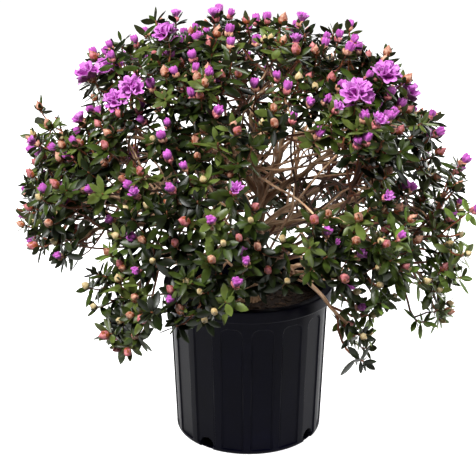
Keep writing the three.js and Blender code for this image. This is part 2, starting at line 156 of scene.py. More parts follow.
@dataclass
class Surface:
    """Points in millimetres and the faces between them.

    quad_dress and triangle_dress hold each face's place in the piece's list of finishes. grain is a
    vector for each point that follows the surface, for patterns that run along a limb.
    """

    points: Array
    quads: Array
    triangles: Array
    quad_dress: Optional[Array] = None
    triangle_dress: Optional[Array] = None
    grain: Optional[Array] = None

    def __post_init__(self) -> None:
        """Faces without a dress take the first finish, and points without a grain their own place."""
        if self.quad_dress is None:
            self.quad_dress = np.zeros(len(self.quads), dtype=np.int32)
        if self.triangle_dress is None:
            self.triangle_dress = np.zeros(len(self.triangles), dtype=np.int32)
        if self.grain is None:
            self.grain = self.points

    @staticmethod
    def joined(parts: Sequence["Surface"]) -> "Surface":
        """Several surfaces as one.

        Args:
            parts: The surfaces to put side by side.

        Returns:
            One surface with the points and faces of all of them.
        """
        starts = np.cumsum([0] + [len(part.points) for part in parts])
        return Surface(
            points=np.concatenate([part.points for part in parts]),
            quads=np.concatenate([part.quads + start for part, start in zip(parts, starts)]),
            triangles=np.concatenate([part.triangles + start for part, start in zip(parts, starts)]),
            quad_dress=np.concatenate([part.quad_dress for part in parts]),
            triangle_dress=np.concatenate([part.triangle_dress for part in parts]),
            grain=np.concatenate([part.grain for part in parts]),
        )

    def mesh(self, name: str, sharp_angle: float) -> bpy.types.Mesh:
        """The surface as a Blender mesh in metres.

        Args:
            name: Name of the mesh.
            sharp_angle: Edges that turn by more than this, in degrees, stay sharp.

        Returns:
            The mesh, shaded smooth.
        """
        made = bpy.data.meshes.new(name)
        corners = np.concatenate([self.quads.ravel(), self.triangles.ravel()]).astype(np.int32)
        sizes = np.concatenate([np.full(len(self.quads), 4), np.full(len(self.triangles), 3)])
        starts = np.concatenate([[0], np.cumsum(sizes)[:-1]]).astype(np.int32)
        made.vertices.add(len(self.points))
        made.loops.add(len(corners))
        made.polygons.add(len(sizes))
        made.vertices.foreach_set("co", (self.points * MM).astype(np.float32).ravel())
        made.loops.foreach_set("vertex_index", corners)
        made.polygons.foreach_set("loop_start", starts)
        dress = np.concatenate([self.quad_dress, self.triangle_dress]).astype(np.int32)
        made.polygons.foreach_set("material_index", dress)
        made.polygons.foreach_set("use_smooth", np.ones(len(sizes), dtype=bool))
        made.update(calc_edges=True)
        made.validate()
        grain = made.attributes.new("grain", "FLOAT_VECTOR", "POINT")
        grain.data.foreach_set("vector", (self.grain * MM).astype(np.float32).ravel())
        made.set_sharp_from_angle(angle=math.radians(sharp_angle))
        return made


def ringed(rings: Array, start: Array, end: Array, grain: Optional[Array] = None) -> Surface:
    """Closed bodies made of rings of points.

    A face lies between neighbours in a ring and the same two in the next ring; a ring's last point
    joins its first. The start and the end are single points that the end rings close on.

    Args:
        rings: Points, shape (bodies, rings, columns, 3).
        start: The points that close the first rings, shape (bodies, 3).
        end: The points that close the last rings, shape (bodies, 3).
        grain: A vector for each ring point, of the same shape as rings.

    Returns:
        The joined surface of all bodies.
    """
    bodies, count, columns, _ = rings.shape
    row = np.arange(count - 1)[:, None] * columns
    first = np.arange(columns)
    second = (first + 1) % columns
    near = np.stack([row + first, row + second], axis=-1)
    far = np.stack([row + columns + second, row + columns + first], axis=-1)
    quads = np.concatenate([near, far], axis=-1).reshape(-1, 4)
    pole = count * columns
    last = pole - columns
    start_fan = np.stack([np.full(columns, pole), second, first], axis=-1)
    end_fan = np.stack([np.full(columns, pole + 1), last + first, last + second], axis=-1)
    triangles = np.concatenate([start_fan, end_fan])
    poles = np.stack([start, end], axis=1)
    points = np.concatenate([rings.reshape(bodies, pole, 3), poles], axis=1)
    each = points.shape[1]
    body_grain = points
    if grain is not None:
        flat_grain = grain.reshape(bodies, pole, 3)
        body_grain = np.concatenate([flat_grain, flat_grain[:, [0, -1]]], axis=1)
    return Surface(
        points=points.reshape(-1, 3),
        quads=repeated(quads, bodies, each),
        triangles=repeated(triangles, bodies, each),
        grain=body_grain.reshape(-1, 3),
    )


def tube_frames(paths: Array) -> Tuple[Array, Array, Array]:
    """Directions that turn as little as they can along each path.

    The normal at a station is the normal before it, made square to the path there.

    Args:
        paths: Points, shape (tubes, stations, 3).

    Returns:
        Tangents, normals and binormals, each of the shape of paths.
    """
    tangents = unit(np.gradient(paths, axis=1))
    normals = np.empty_like(paths)
    normals[:, 0] = axes_across(tangents[:, 0])[0]
    for station in range(1, paths.shape[1]):
        before = normals[:, station - 1]
        here = tangents[:, station]
        normals[:, station] = unit(before - np.sum(before * here, axis=-1, keepdims=True) * here)
    return tangents, normals, np.cross(tangents, normals)


def tubes(paths: Array, radii: Array, columns: int, relief: Optional[Array] = None) -> Surface:
    """Round limbs: a circle of changing radius carried along each path.

    A limb ends in a point ROUND_END radii beyond its last ring. The grains of neighbouring limbs lie
    GRAIN_APART apart, so that their patterns differ.

    Args:
        paths: Points, shape (tubes, stations, 3).
        radii: Radius at each station, shape (tubes, stations).
        columns: Points round each ring.
        relief: Share by which each ring point's radius grows, shape (tubes, stations, columns).

    Returns:
        The joined surface, whose grain runs along each limb.
    """
    tangents, normals, binormals = tube_frames(paths)
    turn = evenly_turned(columns)
    radial = turned(normals[:, :, None], binormals[:, :, None], turn)
    reach = np.repeat(radii[:, :, None], columns, axis=2)
    if relief is not None:
        reach = reach * (1.0 + relief)
    rings = paths[:, :, None] + radial * reach[..., None]
    start = paths[:, 0] - tangents[:, 0] * radii[:, :1] * ROUND_END
    end = paths[:, -1] + tangents[:, -1] * radii[:, -1:] * ROUND_END
    steps = np.linalg.norm(np.diff(paths, axis=1), axis=-1)
    along = np.concatenate([np.zeros((len(paths), 1)), np.cumsum(steps, axis=1)], axis=1)
    apart = np.arange(len(paths))[:, None, None] * GRAIN_APART
    grain = np.stack(
        [
            np.cos(turn) * reach + apart,
            np.sin(turn) * reach,
            np.repeat(along[:, :, None], columns, axis=2),
        ],
        axis=-1,
    )
    return ringed(rings, start, end, grain)


def crooked(paths: Array, amount: float, rng: Random) -> Array:
    """Paths bent a little to and fro, by a slow and a quick wave each way that die away at both ends.

    Args:
        paths: Points, shape (limbs, stations, 3).
        amount: About the greatest distance aside.
        rng: Source of the waves' phases.

    Returns:
        The bent paths.
    """
    _, normals, binormals = tube_frames(paths)
    share = np.linspace(0.0, 1.0, paths.shape[1])[None, :]
    envelope = np.sin(math.pi * share) ** WAVE_FADE
    phases = rng.uniform(0.0, FULL_TURN, (2, 2, len(paths), 1))
    waves: List[Array] = []
    for slow, quick, phase in zip(SLOW_WAVES, QUICK_WAVES, phases):
        wave = np.sin(share * slow + phase[0]) + QUICK_SHARE * np.sin(share * quick + phase[1])
        waves.append((wave * envelope)[..., None])
    return paths + (normals * waves[0] + binormals * waves[1]) * amount * WAVE_SCALE


# Finishes

SRGB_KNEE = 0.04045
SRGB_SLOPE = 12.92
SRGB_OFFSET = 0.055
SRGB_POWER = 2.4
MOTTLE_DETAIL = 3.0
RELIEF_DETAIL = 4.0
NOISE_RANGE = (0.3, 0.7)


def linear(colour: Colour) -> Tuple[float, float, float, float]:
    """A colour as the shader takes it.

    Args:
        colour: Red, green and blue as a screen shows them, from 0 to 255.

    Returns:
        Linear red, green and blue from 0 to 1, and a full alpha.
    """
    shares = np.array(colour) / 255.0
    curved = ((shares + SRGB_OFFSET) / (1.0 + SRGB_OFFSET)) ** SRGB_POWER
    lit = np.where(shares <= SRGB_KNEE, shares / SRGB_SLOPE, curved)
    return float(lit[0]), float(lit[1]), float(lit[2]), 1.0


class Follows(Enum):
    """What a pattern follows on a piece."""

    PLACE = "Object"
    GRAIN = "grain"


class Recipe:
    """A material in the making: its nodes, and the links between them."""

    def __init__(self, name: str, follows: Follows) -> None:
        """Starts a material whose patterns follow the piece's place or its grain.

        Args:
            name: Name of the material.
            follows: What the patterns follow.
        """
        self.material = bpy.data.materials.new(name)
        self.material.use_nodes = True
        self.tree = self.material.node_tree
        self.shader = self.tree.nodes["Principled BSDF"]
        if follows is Follows.GRAIN:
            source = self.node("Attribute")
            source.attribute_name = follows.value
            self.coordinates = source.outputs["Vector"]
        else:
            self.coordinates = self.node("TexCoord").outputs[follows.value]

    def feed(self, node: bpy.types.Node, **values: object) -> None:
        """Feeds a node's inputs, by a link or with a constant.

        Args:
            node: The node.
            values: A socket or a constant for each input, named with underscores for spaces.
        """
        for name, value in values.items():
            socket = node.inputs[name.replace("_", " ")]
            if isinstance(value, Socket):
                self.tree.links.new(value, socket)
            else:
                socket.default_value = value

    def node(self, kind: str, **values: object) -> bpy.types.Node:
        """A new shader node with some of its inputs fed.

        Args:
            kind: The end of its type's name.
            values: What feeds its inputs.

        Returns:
            The node.
        """
        made = self.tree.nodes.new(f"ShaderNode{kind}")
        self.feed(made, **values)
        return made

    def noise(self, scale: float, detail: float, stretch: Point) -> Socket:
        """A noise pattern.

        Args:
            scale: Patches to a metre.
            detail: Finer octaves in the pattern.
            stretch: Factors on the coordinates; a small one draws the pattern out that way.

        Returns:
            The socket of the noise, from 0 to 1.
        """
        mapping = self.node("Mapping", Vector=self.coordinates, Scale=stretch)
        noise = self.node("TexNoise", Vector=mapping.outputs["Vector"], Scale=scale, Detail=detail)
        return noise.outputs["Fac"]

    def ramp(self, factor: Socket, stops: Stops) -> Socket:
        """Colours dealt out along a factor.

        Args:
            factor: The socket that picks the colour.
            stops: Places from 0 to 1 with the colour at each.

        Returns:
            The socket of the colour.
        """
        ramp = self.node("ValToRGB", Fac=factor)
        elements = ramp.color_ramp.elements
        while len(elements) < len(stops):
            elements.new(0.5)
        for element, (place, colour) in zip(elements, stops):
            element.position = place
            element.color = linear(colour)
        return ramp.outputs["Color"]

    def spread(self, noise: Socket, span: Span) -> Socket:
        """A noise stretched over a span of values.

        Args:
            noise: The socket of the noise.
            span: The values at the ends of the noise's range.

        Returns:
            The socket of the values.
        """
        low, high = NOISE_RANGE
        ends = {"From_Min": low, "From_Max": high, "To_Min": span[0], "To_Max": span[1]}
        return self.node("MapRange", Value=noise, **ends).outputs["Result"]

    def bump(self, height: Socket, strength: float, distance: float) -> Socket:
        """The normal of a surface that a height pattern raises, to a distance in millimetres."""
        bump = self.node("Bump", Height=height, Strength=strength, Distance=distance * MM)
        return bump.outputs["Normal"]


@dataclass(frozen=True)
class Finish:
    """A mottled finish: colours by one noise, and gloss and fine relief by a finer one.

    Scales are patches to a metre, gloss is the range of the roughness, and the relief's depth is in
    millimetres. A small number in stretch draws the patterns out that way.
    """

    name: str
    stops: Stops
    mottle_scale: float
    gloss: Span
    relief_scale: float
    relief_strength: float
    relief_depth: float = 0.4
    specular: float = 0.5
    sheen: float = 0.0
    follows: Follows = Follows.PLACE
    stretch: Point = (1.0, 1.0, 1.0)

    def material(self) -> bpy.types.Material:
        """The finish as a material.

        Returns:
            A new material with the finish's nodes.
        """
        recipe = Recipe(self.name, self.follows)
        mottle = recipe.noise(self.mottle_scale, MOTTLE_DETAIL, self.stretch)
        fine = recipe.noise(self.relief_scale, RELIEF_DETAIL, self.stretch)
        recipe.feed(
            recipe.shader,
            Base_Color=recipe.ramp(mottle, self.stops),
            Roughness=recipe.spread(fine, self.gloss),
            Normal=recipe.bump(fine, self.relief_strength, self.relief_depth),
            Specular_IOR_Level=self.specular,
            Sheen_Weight=self.sheen,
        )
        return recipe.material


@dataclass(frozen=True)
class PlainFinish:
    """A smooth, even finish for the studio floor."""

    name: str
    colour: Colour
    roughness: float
    glow: float

    def material(self) -> bpy.types.Material:
        """The finish as a material.

        Returns:
            A new material with the finish's nodes.
        """
        recipe = Recipe(self.name, Follows.PLACE)
        recipe.feed(
            recipe.shader,
            Base_Color=linear(self.colour),
            Roughness=self.roughness,
            Specular_IOR_Level=0.0,
            Emission_Color=linear(self.colour),
            Emission_Strength=self.glow,
        )
        return recipe.material


def leaf_finish(name: str, dark: Colour, light: Colour) -> Finish:
    """A waxy leaf's upper side, between two greens."""
    return Finish(
        name,
        stops=((0.36, dark), (0.64, light)),
        mottle_scale=55.0,
        gloss=(0.28, 0.42),
        relief_scale=420.0,
        relief_strength=0.12,
        specular=0.22,
    )


def petal_finish(name: str, dark: Colour, light: Colour) -> Finish:
    """A thin soft petal, between two violets."""
    return Finish(
        name,
        stops=((0.34, dark), (0.66, light)),
        mottle_scale=130.0,
        gloss=(0.5, 0.7),
        relief_scale=500.0,
        relief_strength=0.15,
        specular=0.25,
        sheen=0.2,
    )


def bud_finish(name: str, dark: Colour, light: Colour) -> Finish:
    """A scaly bud, between two tones."""
    return Finish(
        name,
        stops=((0.35, dark), (0.65, light)),
        mottle_scale=210.0,
        gloss=(0.4, 0.6),
        relief_scale=900.0,
        relief_strength=0.3,
        specular=0.35,
    )


def twig_finish(name: str, stops: Stops, gloss: Span, relief_strength: float) -> Finish:
    """A twig's thin bark, its patterns drawn out along the twig."""
    return Finish(
        name,
        stops=stops,
        mottle_scale=320.0,
        gloss=gloss,
        relief_scale=700.0,
        relief_strength=relief_strength,
        follows=Follows.GRAIN,
        stretch=(1.0, 1.0, 0.2),
    )


BLACK_PLASTIC = Finish(
    "black_plastic",
    stops=((0.3, (4, 4, 17)), (0.62, (7, 7, 23)), (0.8, (12, 12, 31))),
    mottle_scale=26.0,
    gloss=(0.27, 0.39),
    relief_scale=700.0,
    relief_strength=0.16,
    relief_depth=0.25,
    specular=0.042,
)
# Painted shade: a near-black finish on the drains' hollows, standing in for the shadowed inside of the
# holes.
DRAIN_PAINTED_SHADE = Finish(
    "drain_painted_shade",
    stops=((0.4, (2, 2, 3)), (0.6, (5, 5, 6))),
    mottle_scale=120.0,
    gloss=(0.9, 1.0),
    relief_scale=400.0,
    relief_strength=0.2,
    specular=0.0,
)
BARK_MIX = Finish(
    "bark_mix",
    stops=((0.3, (22, 15, 10)), (0.55, (48, 33, 22)), (0.75, (84, 62, 42))),
    mottle_scale=160.0,
    gloss=(0.8, 1.0),
    relief_scale=420.0,
    relief_strength=0.8,
    relief_depth=1.5,
)
BARK_FLAKE = Finish(
    "bark_flake",
    stops=((0.3, (30, 21, 15)), (0.55, (60, 43, 30)), (0.75, (98, 75, 54))),
    mottle_scale=150.0,
    gloss=(0.8, 1.0),
    relief_scale=600.0,
    relief_strength=0.6,
    relief_depth=0.6,
)
TRUNK_BARK = Finish(
    "trunk_bark",
    stops=((0.3, (108, 78, 54)), (0.5, (174, 138, 103)), (0.72, (226, 199, 166))),
    mottle_scale=240.0,
    gloss=(0.7, 0.95),
    relief_scale=520.0,
    relief_strength=0.7,
    relief_depth=0.8,
    follows=Follows.GRAIN,
    stretch=(1.0, 1.0, 0.14),
)
TAN_STOPS = ((0.3, (170, 124, 88)), (0.55, (224, 180, 140)), (0.75, (250, 224, 194)))
BROWN_STOPS = ((0.3, (48, 27, 15)), (0.7, (98, 62, 40)))
RED_STOPS = ((0.3, (84, 38, 16)), (0.7, (150, 86, 48)))
TAN_TWIG = twig_finish("tan_twig", TAN_STOPS, gloss=(0.6, 0.85), relief_strength=0.4)
BROWN_TWIG = twig_finish("brown_twig", BROWN_STOPS, gloss=(0.6, 0.85), relief_strength=0.4)
RED_TWIG = twig_finish("red_twig", RED_STOPS, gloss=(0.5, 0.75), relief_strength=0.3)
# The undersides' green is darker than a real underside's: painted shade, as they face away from the
# light.
LEAF_UNDERSIDE_PAINTED_SHADE = replace(
    leaf_finish("leaf_underside_painted_shade", (52, 58, 30), (72, 77, 44)),
    gloss=(0.6, 0.75),
    relief_scale=520.0,
    relief_strength=0.2,
    specular=0.2,
)
BUD_SCALE = replace(
    bud_finish("bud_scale", (126, 58, 32), (186, 104, 64)),
    gloss=(0.45, 0.65),
    specular=0.3,
)
STUDIO_WHITE = PlainFinish("studio_white", colour=(250, 250, 250), roughness=0.9, glow=0.92)


class LeafTone(Enum):
    """Greens that the whorls take, each with its finish."""

    DEEP = leaf_finish("leaf_deep", (13, 17, 3), (24, 35, 8))
    MID = leaf_finish("leaf_mid", (39, 45, 12), (57, 74, 24))
    OLIVE = leaf_finish("leaf_olive", (70, 78, 31), (98, 114, 52))
    FRESH = leaf_finish("leaf_fresh", (88, 114, 42), (128, 153, 70))


class BudTone(Enum):
    """Colours of scaly buds, each with its finish."""

    CREAM = bud_finish("bud_cream", (184, 152, 96), (234, 214, 166))
    PEACH = bud_finish("bud_peach", (166, 98, 78), (236, 184, 156))
    ROSE = bud_finish("bud_rose", (164, 74, 82), (228, 148, 148))


class PetalTone(Enum):
    """Violets of the petals, each with its finish; the deeper violet also paints shade into the florets'
    throats.
    """

    VIOLET = petal_finish("petal_violet", (166, 64, 158), (208, 106, 204))
    LILAC = petal_finish("petal_lilac", (200, 96, 198), (242, 162, 244))


class BudStage(Enum):
    """How far a shoot's flower bud has come."""

    NONE = 0
    TIGHT = 1
    SWELLING = 2
    CRACKING = 3
    OPENING = 4
    OPEN = 5


# Pieces


class PieceShop:
    """Makes the pieces, dresses them and ties them to the frame."""

    def __init__(self) -> None:
        """Starts with no materials made."""
        self.materials: Dict[str, bpy.types.Material] = {}

    def dressed(self, finish: Finish) -> bpy.types.Material:
        """The finish's material, made once."""
        if finish.name not in self.materials:
            self.materials[finish.name] = finish.material()
        return self.materials[finish.name]

    def make(
        self,
        name: str,
        surface: Surface,
        finishes: Sequence[Finish],
        stands_for: Sequence[str],
        sharp_angle: float = SHARP_ANGLE,
    ) -> None:
        """Makes one piece.

        Args:
            name: The piece's name.
            surface: Its shape.
            finishes: Its finishes, in the order that the surface's dress counts them.
            stands_for: The solids that it replaces.
            sharp_angle: Edges that turn by more than this, in degrees, stay sharp.
        """
        mesh = surface.mesh(name, sharp_angle)
        for finish in finishes:
            mesh.materials.append(self.dressed(finish))
        piece = bpy.data.objects.new(name, mesh)
        bpy.context.scene.collection.objects.link(piece)
        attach(piece, BODY)
        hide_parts(*stands_for)
        triangles = 2 * len(surface.quads) + len(surface.triangles)
        log.info("%s: %d triangles", name, triangles)


@dataclass
class Pot:
    """The fluted nursery pot: a tapered wall with recessed panels under a turned-down lip.

    The wall's rings lie close together at its foot, up to close_foot, and round the panels' tops.
    panel_columns are the columns' degrees from a panel's side edge, and drain_columns their shares of a
    drain's half width. A face takes the drains' painted shade, near black, if more than dark_corners of
    its four corners lie in a drain.
    """

    height: float = 245.0
    foot_radius: float = 114.5
    foot_round: float = 5.0
    shoulder_radius: float = 123.0
    wall: float = 5.0
    floor: float = 5.0
    lip_radius: float = 133.0
    lip_depth: float = 19.0
    lip_wall: float = 2.6
    panels: int = 16
    panel_turn: float = 9.75
    panel_width: float = 35.0
    panel_round: float = 13.0
    panel_foot: float = 7.0
    panel_top: float = 212.0
    panel_depth: float = 3.0
    panel_edge: float = 1.3
    drains: int = 4
    drain_turn: float = 54.75
    drain_radius: float = 12.5
    drain_height: float = 6.0
    drain_depth: float = 9.0
    drain_edge: float = 1.6
    corner_top: float = 24.0
    corner_inset: float = 20.0
    corner_foot: float = 13.0
    close_pitch: float = 1.0
    close_foot: float = 21.0
    open_start: float = 25.0
    open_stop: float = 20.0
    open_rings: int = 9
    close_below: float = 16.0
    close_above: float = 4.0
    shoulder_ring: float = 220.0
    panel_columns: Tuple[float, ...] = (-1.3, -0.8, -0.45, -0.15, 0.15, 0.45, 0.8, 1.4)
    drain_columns: Tuple[float, ...] = (0.45, 0.72, 0.88, 0.97, 1.06, 1.2)
    dark_corners: float = 2.2
    sharp_angle: float = 38.0

    def wall_radius(self, height: Array) -> Array:
        """Outer radius of the wall at a height, before the panels are sunk."""
        share = height / (self.height - self.lip_depth)
        return blend(self.foot_radius, self.shoulder_radius, share)

    def wall_heights(self) -> Array:
        """Heights of the wall's rings.

        Returns:
            Heights from the foot up, close together where panels and drains begin and end.
        """
        foot = np.arange(self.foot_round, self.close_foot, self.close_pitch)
        middle = np.linspace(self.open_start, self.panel_top - self.open_stop, self.open_rings)
        panel_ends = (self.panel_top - self.close_below, self.panel_top + self.close_above)
        crown = np.arange(*panel_ends, self.close_pitch)
        top = np.array([self.shoulder_ring, self.height - self.lip_depth])
        return np.concatenate([foot, middle, crown, top])

    def column_turns(self) -> Array:
        """Bearings of the wall's columns.

        Returns:
            Bearings in radians, close together at the edges of panels and drains.
        """
        half = math.degrees(self.panel_width / 2.0 / self.wall_radius(self.panel_top / 2.0))
        sides = half + np.array(self.panel_columns)
        drain = math.degrees(self.drain_radius / self.foot_radius)
        inner = drain * np.array(self.drain_columns)
        one_side = np.concatenate([inner, sides])
        pitch = 360.0 / self.panels
        offsets = np.concatenate([-one_side[::-1], [0.0], one_side, [pitch / 2.0]])
        middles = FRONT_BEARING + self.panel_turn + np.arange(self.panels) * pitch
        return np.radians((middles[:, None] + offsets[None, :]).ravel())

    @staticmethod
    def from_nearest(turns: Array, first_turn: float, count: int) -> Array:
        """Angles from the nearest of some features that are spaced evenly round the pot.

        Args:
            turns: Bearings in radians.
            first_turn: Degrees from the front to the first feature.
            count: Number of features.

        Returns:
            Angles in radians, from minus to plus half the features' pitch.
        """
        pitch = FULL_TURN / count
        first = math.radians(FRONT_BEARING + first_turn)
        return (turns - first + pitch / 2.0) % pitch - pitch / 2.0

    def drained(self, radius: Array, heights: Array, turns: Array) -> Array:
        """How far each place of the wall lies in a drain: one inside a circle at the foot, else zero.

        Args:
            radius: The plain wall's radius, shape (rings, 1).
            heights: Heights of the rings, shape (rings, 1).
            turns: Bearings of the columns in radians, shape (1, columns).

        Returns:
            A share for each place, shape (rings, columns).
        """
        aside = self.from_nearest(turns, self.drain_turn, self.drains)
        from_drain = np.hypot(aside * radius, heights - self.drain_height)
        return smooth_step((self.drain_radius - from_drain) / self.drain_edge)

    def sunk(self, radius: Array, heights: Array, turns: Array) -> Array:
        """The wall's radius with its panels sunk.

        A panel is the flat plane a little inside the wall, wherever a place lies inside an outline
        with rounded upper corners.

        Args:
            radius: The plain wall's radius, shape (rings, 1).
            heights: Heights of the rings, shape (rings, 1).
            turns: Bearings of the columns in radians, shape (1, columns).

        Returns:
            Radius at each place, shape (rings, columns).
        """
        offset = self.from_nearest(turns, self.panel_turn, self.panels)
        across = np.abs(offset) * radius
        half = self.panel_width / 2.0
        corner_x = np.maximum(across - (half - self.panel_round), 0.0)
        corner_z = np.maximum(heights - (self.panel_top - self.panel_round), 0.0)
        inside_arch = self.panel_round - np.hypot(corner_x, corner_z)
        inside = np.minimum(inside_arch, heights - self.panel_foot)
        plane = (radius - self.panel_depth) / np.cos(offset)
        share = smooth_step(inside / self.panel_edge)
        return blend(radius, np.minimum(plane, radius), share)

    def outline(self, heights: Array) -> Tuple[Array, slice]:
        """The pot's outline from the underside up the wall, over the lip and down inside.

        The inner corner slants, so that the drains are hollows deeper than the wall is thick.

        Args:
            heights: Heights of the wall's rings.

        Returns:
            Radius and height of each point, and the rows that make up the wall and its rounded foot.
        """
        rim = self.height
        lip_foot = rim - self.lip_depth
        under = rim - self.lip_wall
        inner = self.wall_radius(rim) - self.wall
        foot = self.foot_radius
        lip = self.lip_radius
        underside = [[40.0, 0.0], [90.0, 0.0], [foot - 5.0, 0.0]]
        rounding = [[foot - 2.4, 0.7], [foot - 0.6, 2.4], [foot, 3.8]]
        wall = np.stack([self.wall_radius(heights), heights], axis=-1)
        lip_and_inside = [
            [self.wall_radius(under), under],
            [lip - self.lip_wall, under],
            [lip - self.lip_wall, lip_foot + 0.8],
            [lip - 1.9, lip_foot],
            [lip - 0.8, lip_foot],
            [lip - 0.1, lip_foot + 0.8],
            [lip, lip_foot + 2.2],
            [lip - 0.7, lip_foot + 10.0],
            [lip - 0.5, rim - 3.4],
            [lip - 1.0, rim - 1.3],
            [lip - 2.4, rim - 0.2],
            [lip - 4.0, rim],
            [inner + 3.0, rim],
            [inner + 1.2, rim - 0.6],
            [inner, rim - 2.4],
            [self.wall_radius(self.corner_top) - self.wall, self.corner_top],
            [foot - self.corner_inset, self.corner_foot],
        ]
        on_wall = slice(len(underside), len(underside) + len(rounding) + len(heights))
        return np.concatenate([underside, rounding, wall, lip_and_inside]), on_wall

    def surface(self) -> Surface:
        """The pot: its outline turned round the axis, with panels and drains sunk into the wall.

        Returns:
            One closed surface, whose drains take the second finish: painted shade, near black, for the
            holes.
        """
        turns = self.column_turns()
        outline, on_wall = self.outline(self.wall_heights())
        radius = np.repeat(outline[:, :1], len(turns), axis=1)
        place = (outline[on_wall, :1], outline[on_wall, 1:], turns[None, :])
        drained = np.zeros(radius.shape)
        drained[on_wall] = self.drained(*place)
        radius[on_wall] = self.sunk(*place)
        radius = radius - self.drain_depth * drained
        levels = np.repeat(outline[:, 1:], len(turns), axis=1)
        rings = np.stack([radius * np.cos(turns), radius * np.sin(turns), levels], axis=-1)
        start = np.array([[0.0, 0.0, 0.0]])
        end = np.array([[0.0, 0.0, self.floor]])
        surface = ringed(rings[None], start, end)
        beside = drained + np.roll(drained, -1, axis=1)
        corners = (beside[:-1] + beside[1:]).ravel()
        # The faces that lie in a drain take the painted shade.
        surface.quad_dress = (corners > self.dark_corners).astype(np.int32)
        return surface

    def build(self, shop: PieceShop) -> None:
        """Makes the pot's piece, with painted shade inside its drains."""
        finishes = [BLACK_PLASTIC, DRAIN_PAINTED_SHADE]
        shop.make("pot_shell", self.surface(), finishes, ["pot"], self.sharp_angle)


@dataclass
class PottingMix:
    """The bark mix in the pot: a gently heaped, crumbly surface strewn with flakes of bark.

    wave_numbers are the crumbs' waves, in radians to a millimetre. flake_area is the range of the
    square of a flake's distance from the axis, as a share of the greatest.
    """

    crest_height: float = 212.0
    edge_height: float = 204.0
    crest_radius: float = 45.0
    edge_radius: float = 116.0
    foot_height: float = 8.0
    foot_radius: float = 92.0
    rings: int = 40
    columns: int = 96
    middle_share: float = 0.03
    crumb: float = 3.52
    crumb_most: float = 1.2
    waves: int = 24
    wave_numbers: Span = (0.05, 0.55)
    flakes: int = 420
    flake_corners: int = 6
    flake_length: float = 13.0
    flake_sizes: Span = (0.5, 1.2)
    flake_pull: Span = (0.75, 1.15)
    flake_slimness: float = 0.5
    flake_thickness: Span = (0.7, 1.6)
    flake_tilt: float = 0.22
    flake_rise: float = 0.8
    flake_inset: float = 9.0
    flake_area: Span = (0.04, 1.0)
    sharp_angle: float = 30.0
    seed: int = 71

    def level(self, radius: Array) -> Array:
        """Height of the heap at a distance from the axis: level to the crest, then falling."""
        share = onset(radius, self.crest_radius, self.edge_radius - self.crest_radius)
        return blend(self.crest_height, self.edge_height, share)

    def crumbs(self, places: Array) -> Array:
        """Unevenness of the heap: the mean of waves of several lengths and directions.

        Args:
            places: Points seen from above, shape (..., 2).

        Returns:
            Heights above or below the heap at those points.
        """
        rng = np.random.default_rng(self.seed)
        numbers = np.geomspace(*self.wave_numbers, self.waves)
        waves = rng.normal(0.0, 1.0, (self.waves, 2)) * numbers[:, None]
        phases = rng.uniform(0.0, FULL_TURN, self.waves)
        heights = np.sin(places @ waves.T + phases)
        return self.crumb * heights.mean(axis=-1)

    def heap(self) -> Surface:
        """The heap: rings from its foot inside the pot up to its edge, and in to its middle.

        Returns:
            One closed surface.
        """
        reach = self.edge_radius * np.linspace(self.middle_share, 1.0, self.rings)[::-1]
        turn = evenly_turned(self.columns)
        flat = np.stack([np.cos(turn), np.sin(turn)], axis=-1)[None] * reach[:, None, None]
        heights = self.level(reach)[:, None] + np.minimum(self.crumbs(flat), self.crumb_most)
        top = np.concatenate([flat, heights[..., None]], axis=-1)
        foot_ring = flat[:1] * self.foot_radius / self.edge_radius
        foot_level = np.full((1, self.columns, 1), self.foot_height)
        foot = np.concatenate([foot_ring, foot_level], axis=-1)
        rings = np.concatenate([foot, top])[None]
        start = np.array([[0.0, 0.0, self.foot_height]])
        end = np.array([[0.0, 0.0, self.crest_height]])
        return ringed(rings, start, end)

    def strewn(self) -> Surface:
        """Flakes of bark lying on the heap: slabs with six corners, each pulled about at random.

        Returns:
            The joined surface of all flakes.
        """
        rng = np.random.default_rng(self.seed + 1)
        count = self.flakes
        reach = (self.edge_radius - self.flake_inset) * np.sqrt(rng.uniform(*self.flake_area, count))
        bearing = rng.uniform(0.0, FULL_TURN, count)
        height = self.level(reach) + self.flake_rise
        middle = np.stack([reach * np.cos(bearing), reach * np.sin(bearing), height], axis=-1)
        tilt_x = rng.normal(0, self.flake_tilt, count)
        tilt_y = rng.normal(0, self.flake_tilt, count)
        up = unit(np.stack([tilt_x, tilt_y, np.ones(count)], axis=-1))
        first, second = axes_across(up)
        along = turned(first, second, rng.uniform(0.0, FULL_TURN, count))
        aside = np.cross(up, along)
        turn = evenly_turned(self.flake_corners)
        length = self.flake_length * rng.uniform(*self.flake_sizes, (count, 1)) / 2.0
        pull = rng.uniform(*self.flake_pull, (count, self.flake_corners))
        x = (np.cos(turn) * pull * length)[..., None] * along[:, None]
        y = (np.sin(turn) * pull * length * self.flake_slimness)[..., None] * aside[:, None]
        outline = middle[:, None] + x + y
        thick = (rng.uniform(*self.flake_thickness, (count, 1)) * up)[:, None]
        rings = np.stack([outline - thick, outline + thick], axis=1)
        return ringed(rings, middle - thick[:, 0], middle + thick[:, 0])

    def build(self, shop: PieceShop) -> None:
        """Makes the heap and its flakes.

        Args:
            shop: The maker of the pieces.
        """
        nodes = ["potting_mix"]
        shop.make("potting_mix_heap", self.heap(), [BARK_MIX], nodes)
        shop.make("bark_flakes", self.strewn(), [BARK_FLAKE], nodes, self.sharp_angle)


@dataclass(frozen=True)
class BoughPlan:
    """Where a bough leads: the middle of its fan of masses, and how the fan lies.

    spread is the masses' distance from the fan's middle; tilt is the fan's turn in the crown's
    surface, from level, seen from outside.
    """

    name: str
    bearing: float
    reach: float
    height: float
    masses: int
    spread: float
    tilt: float


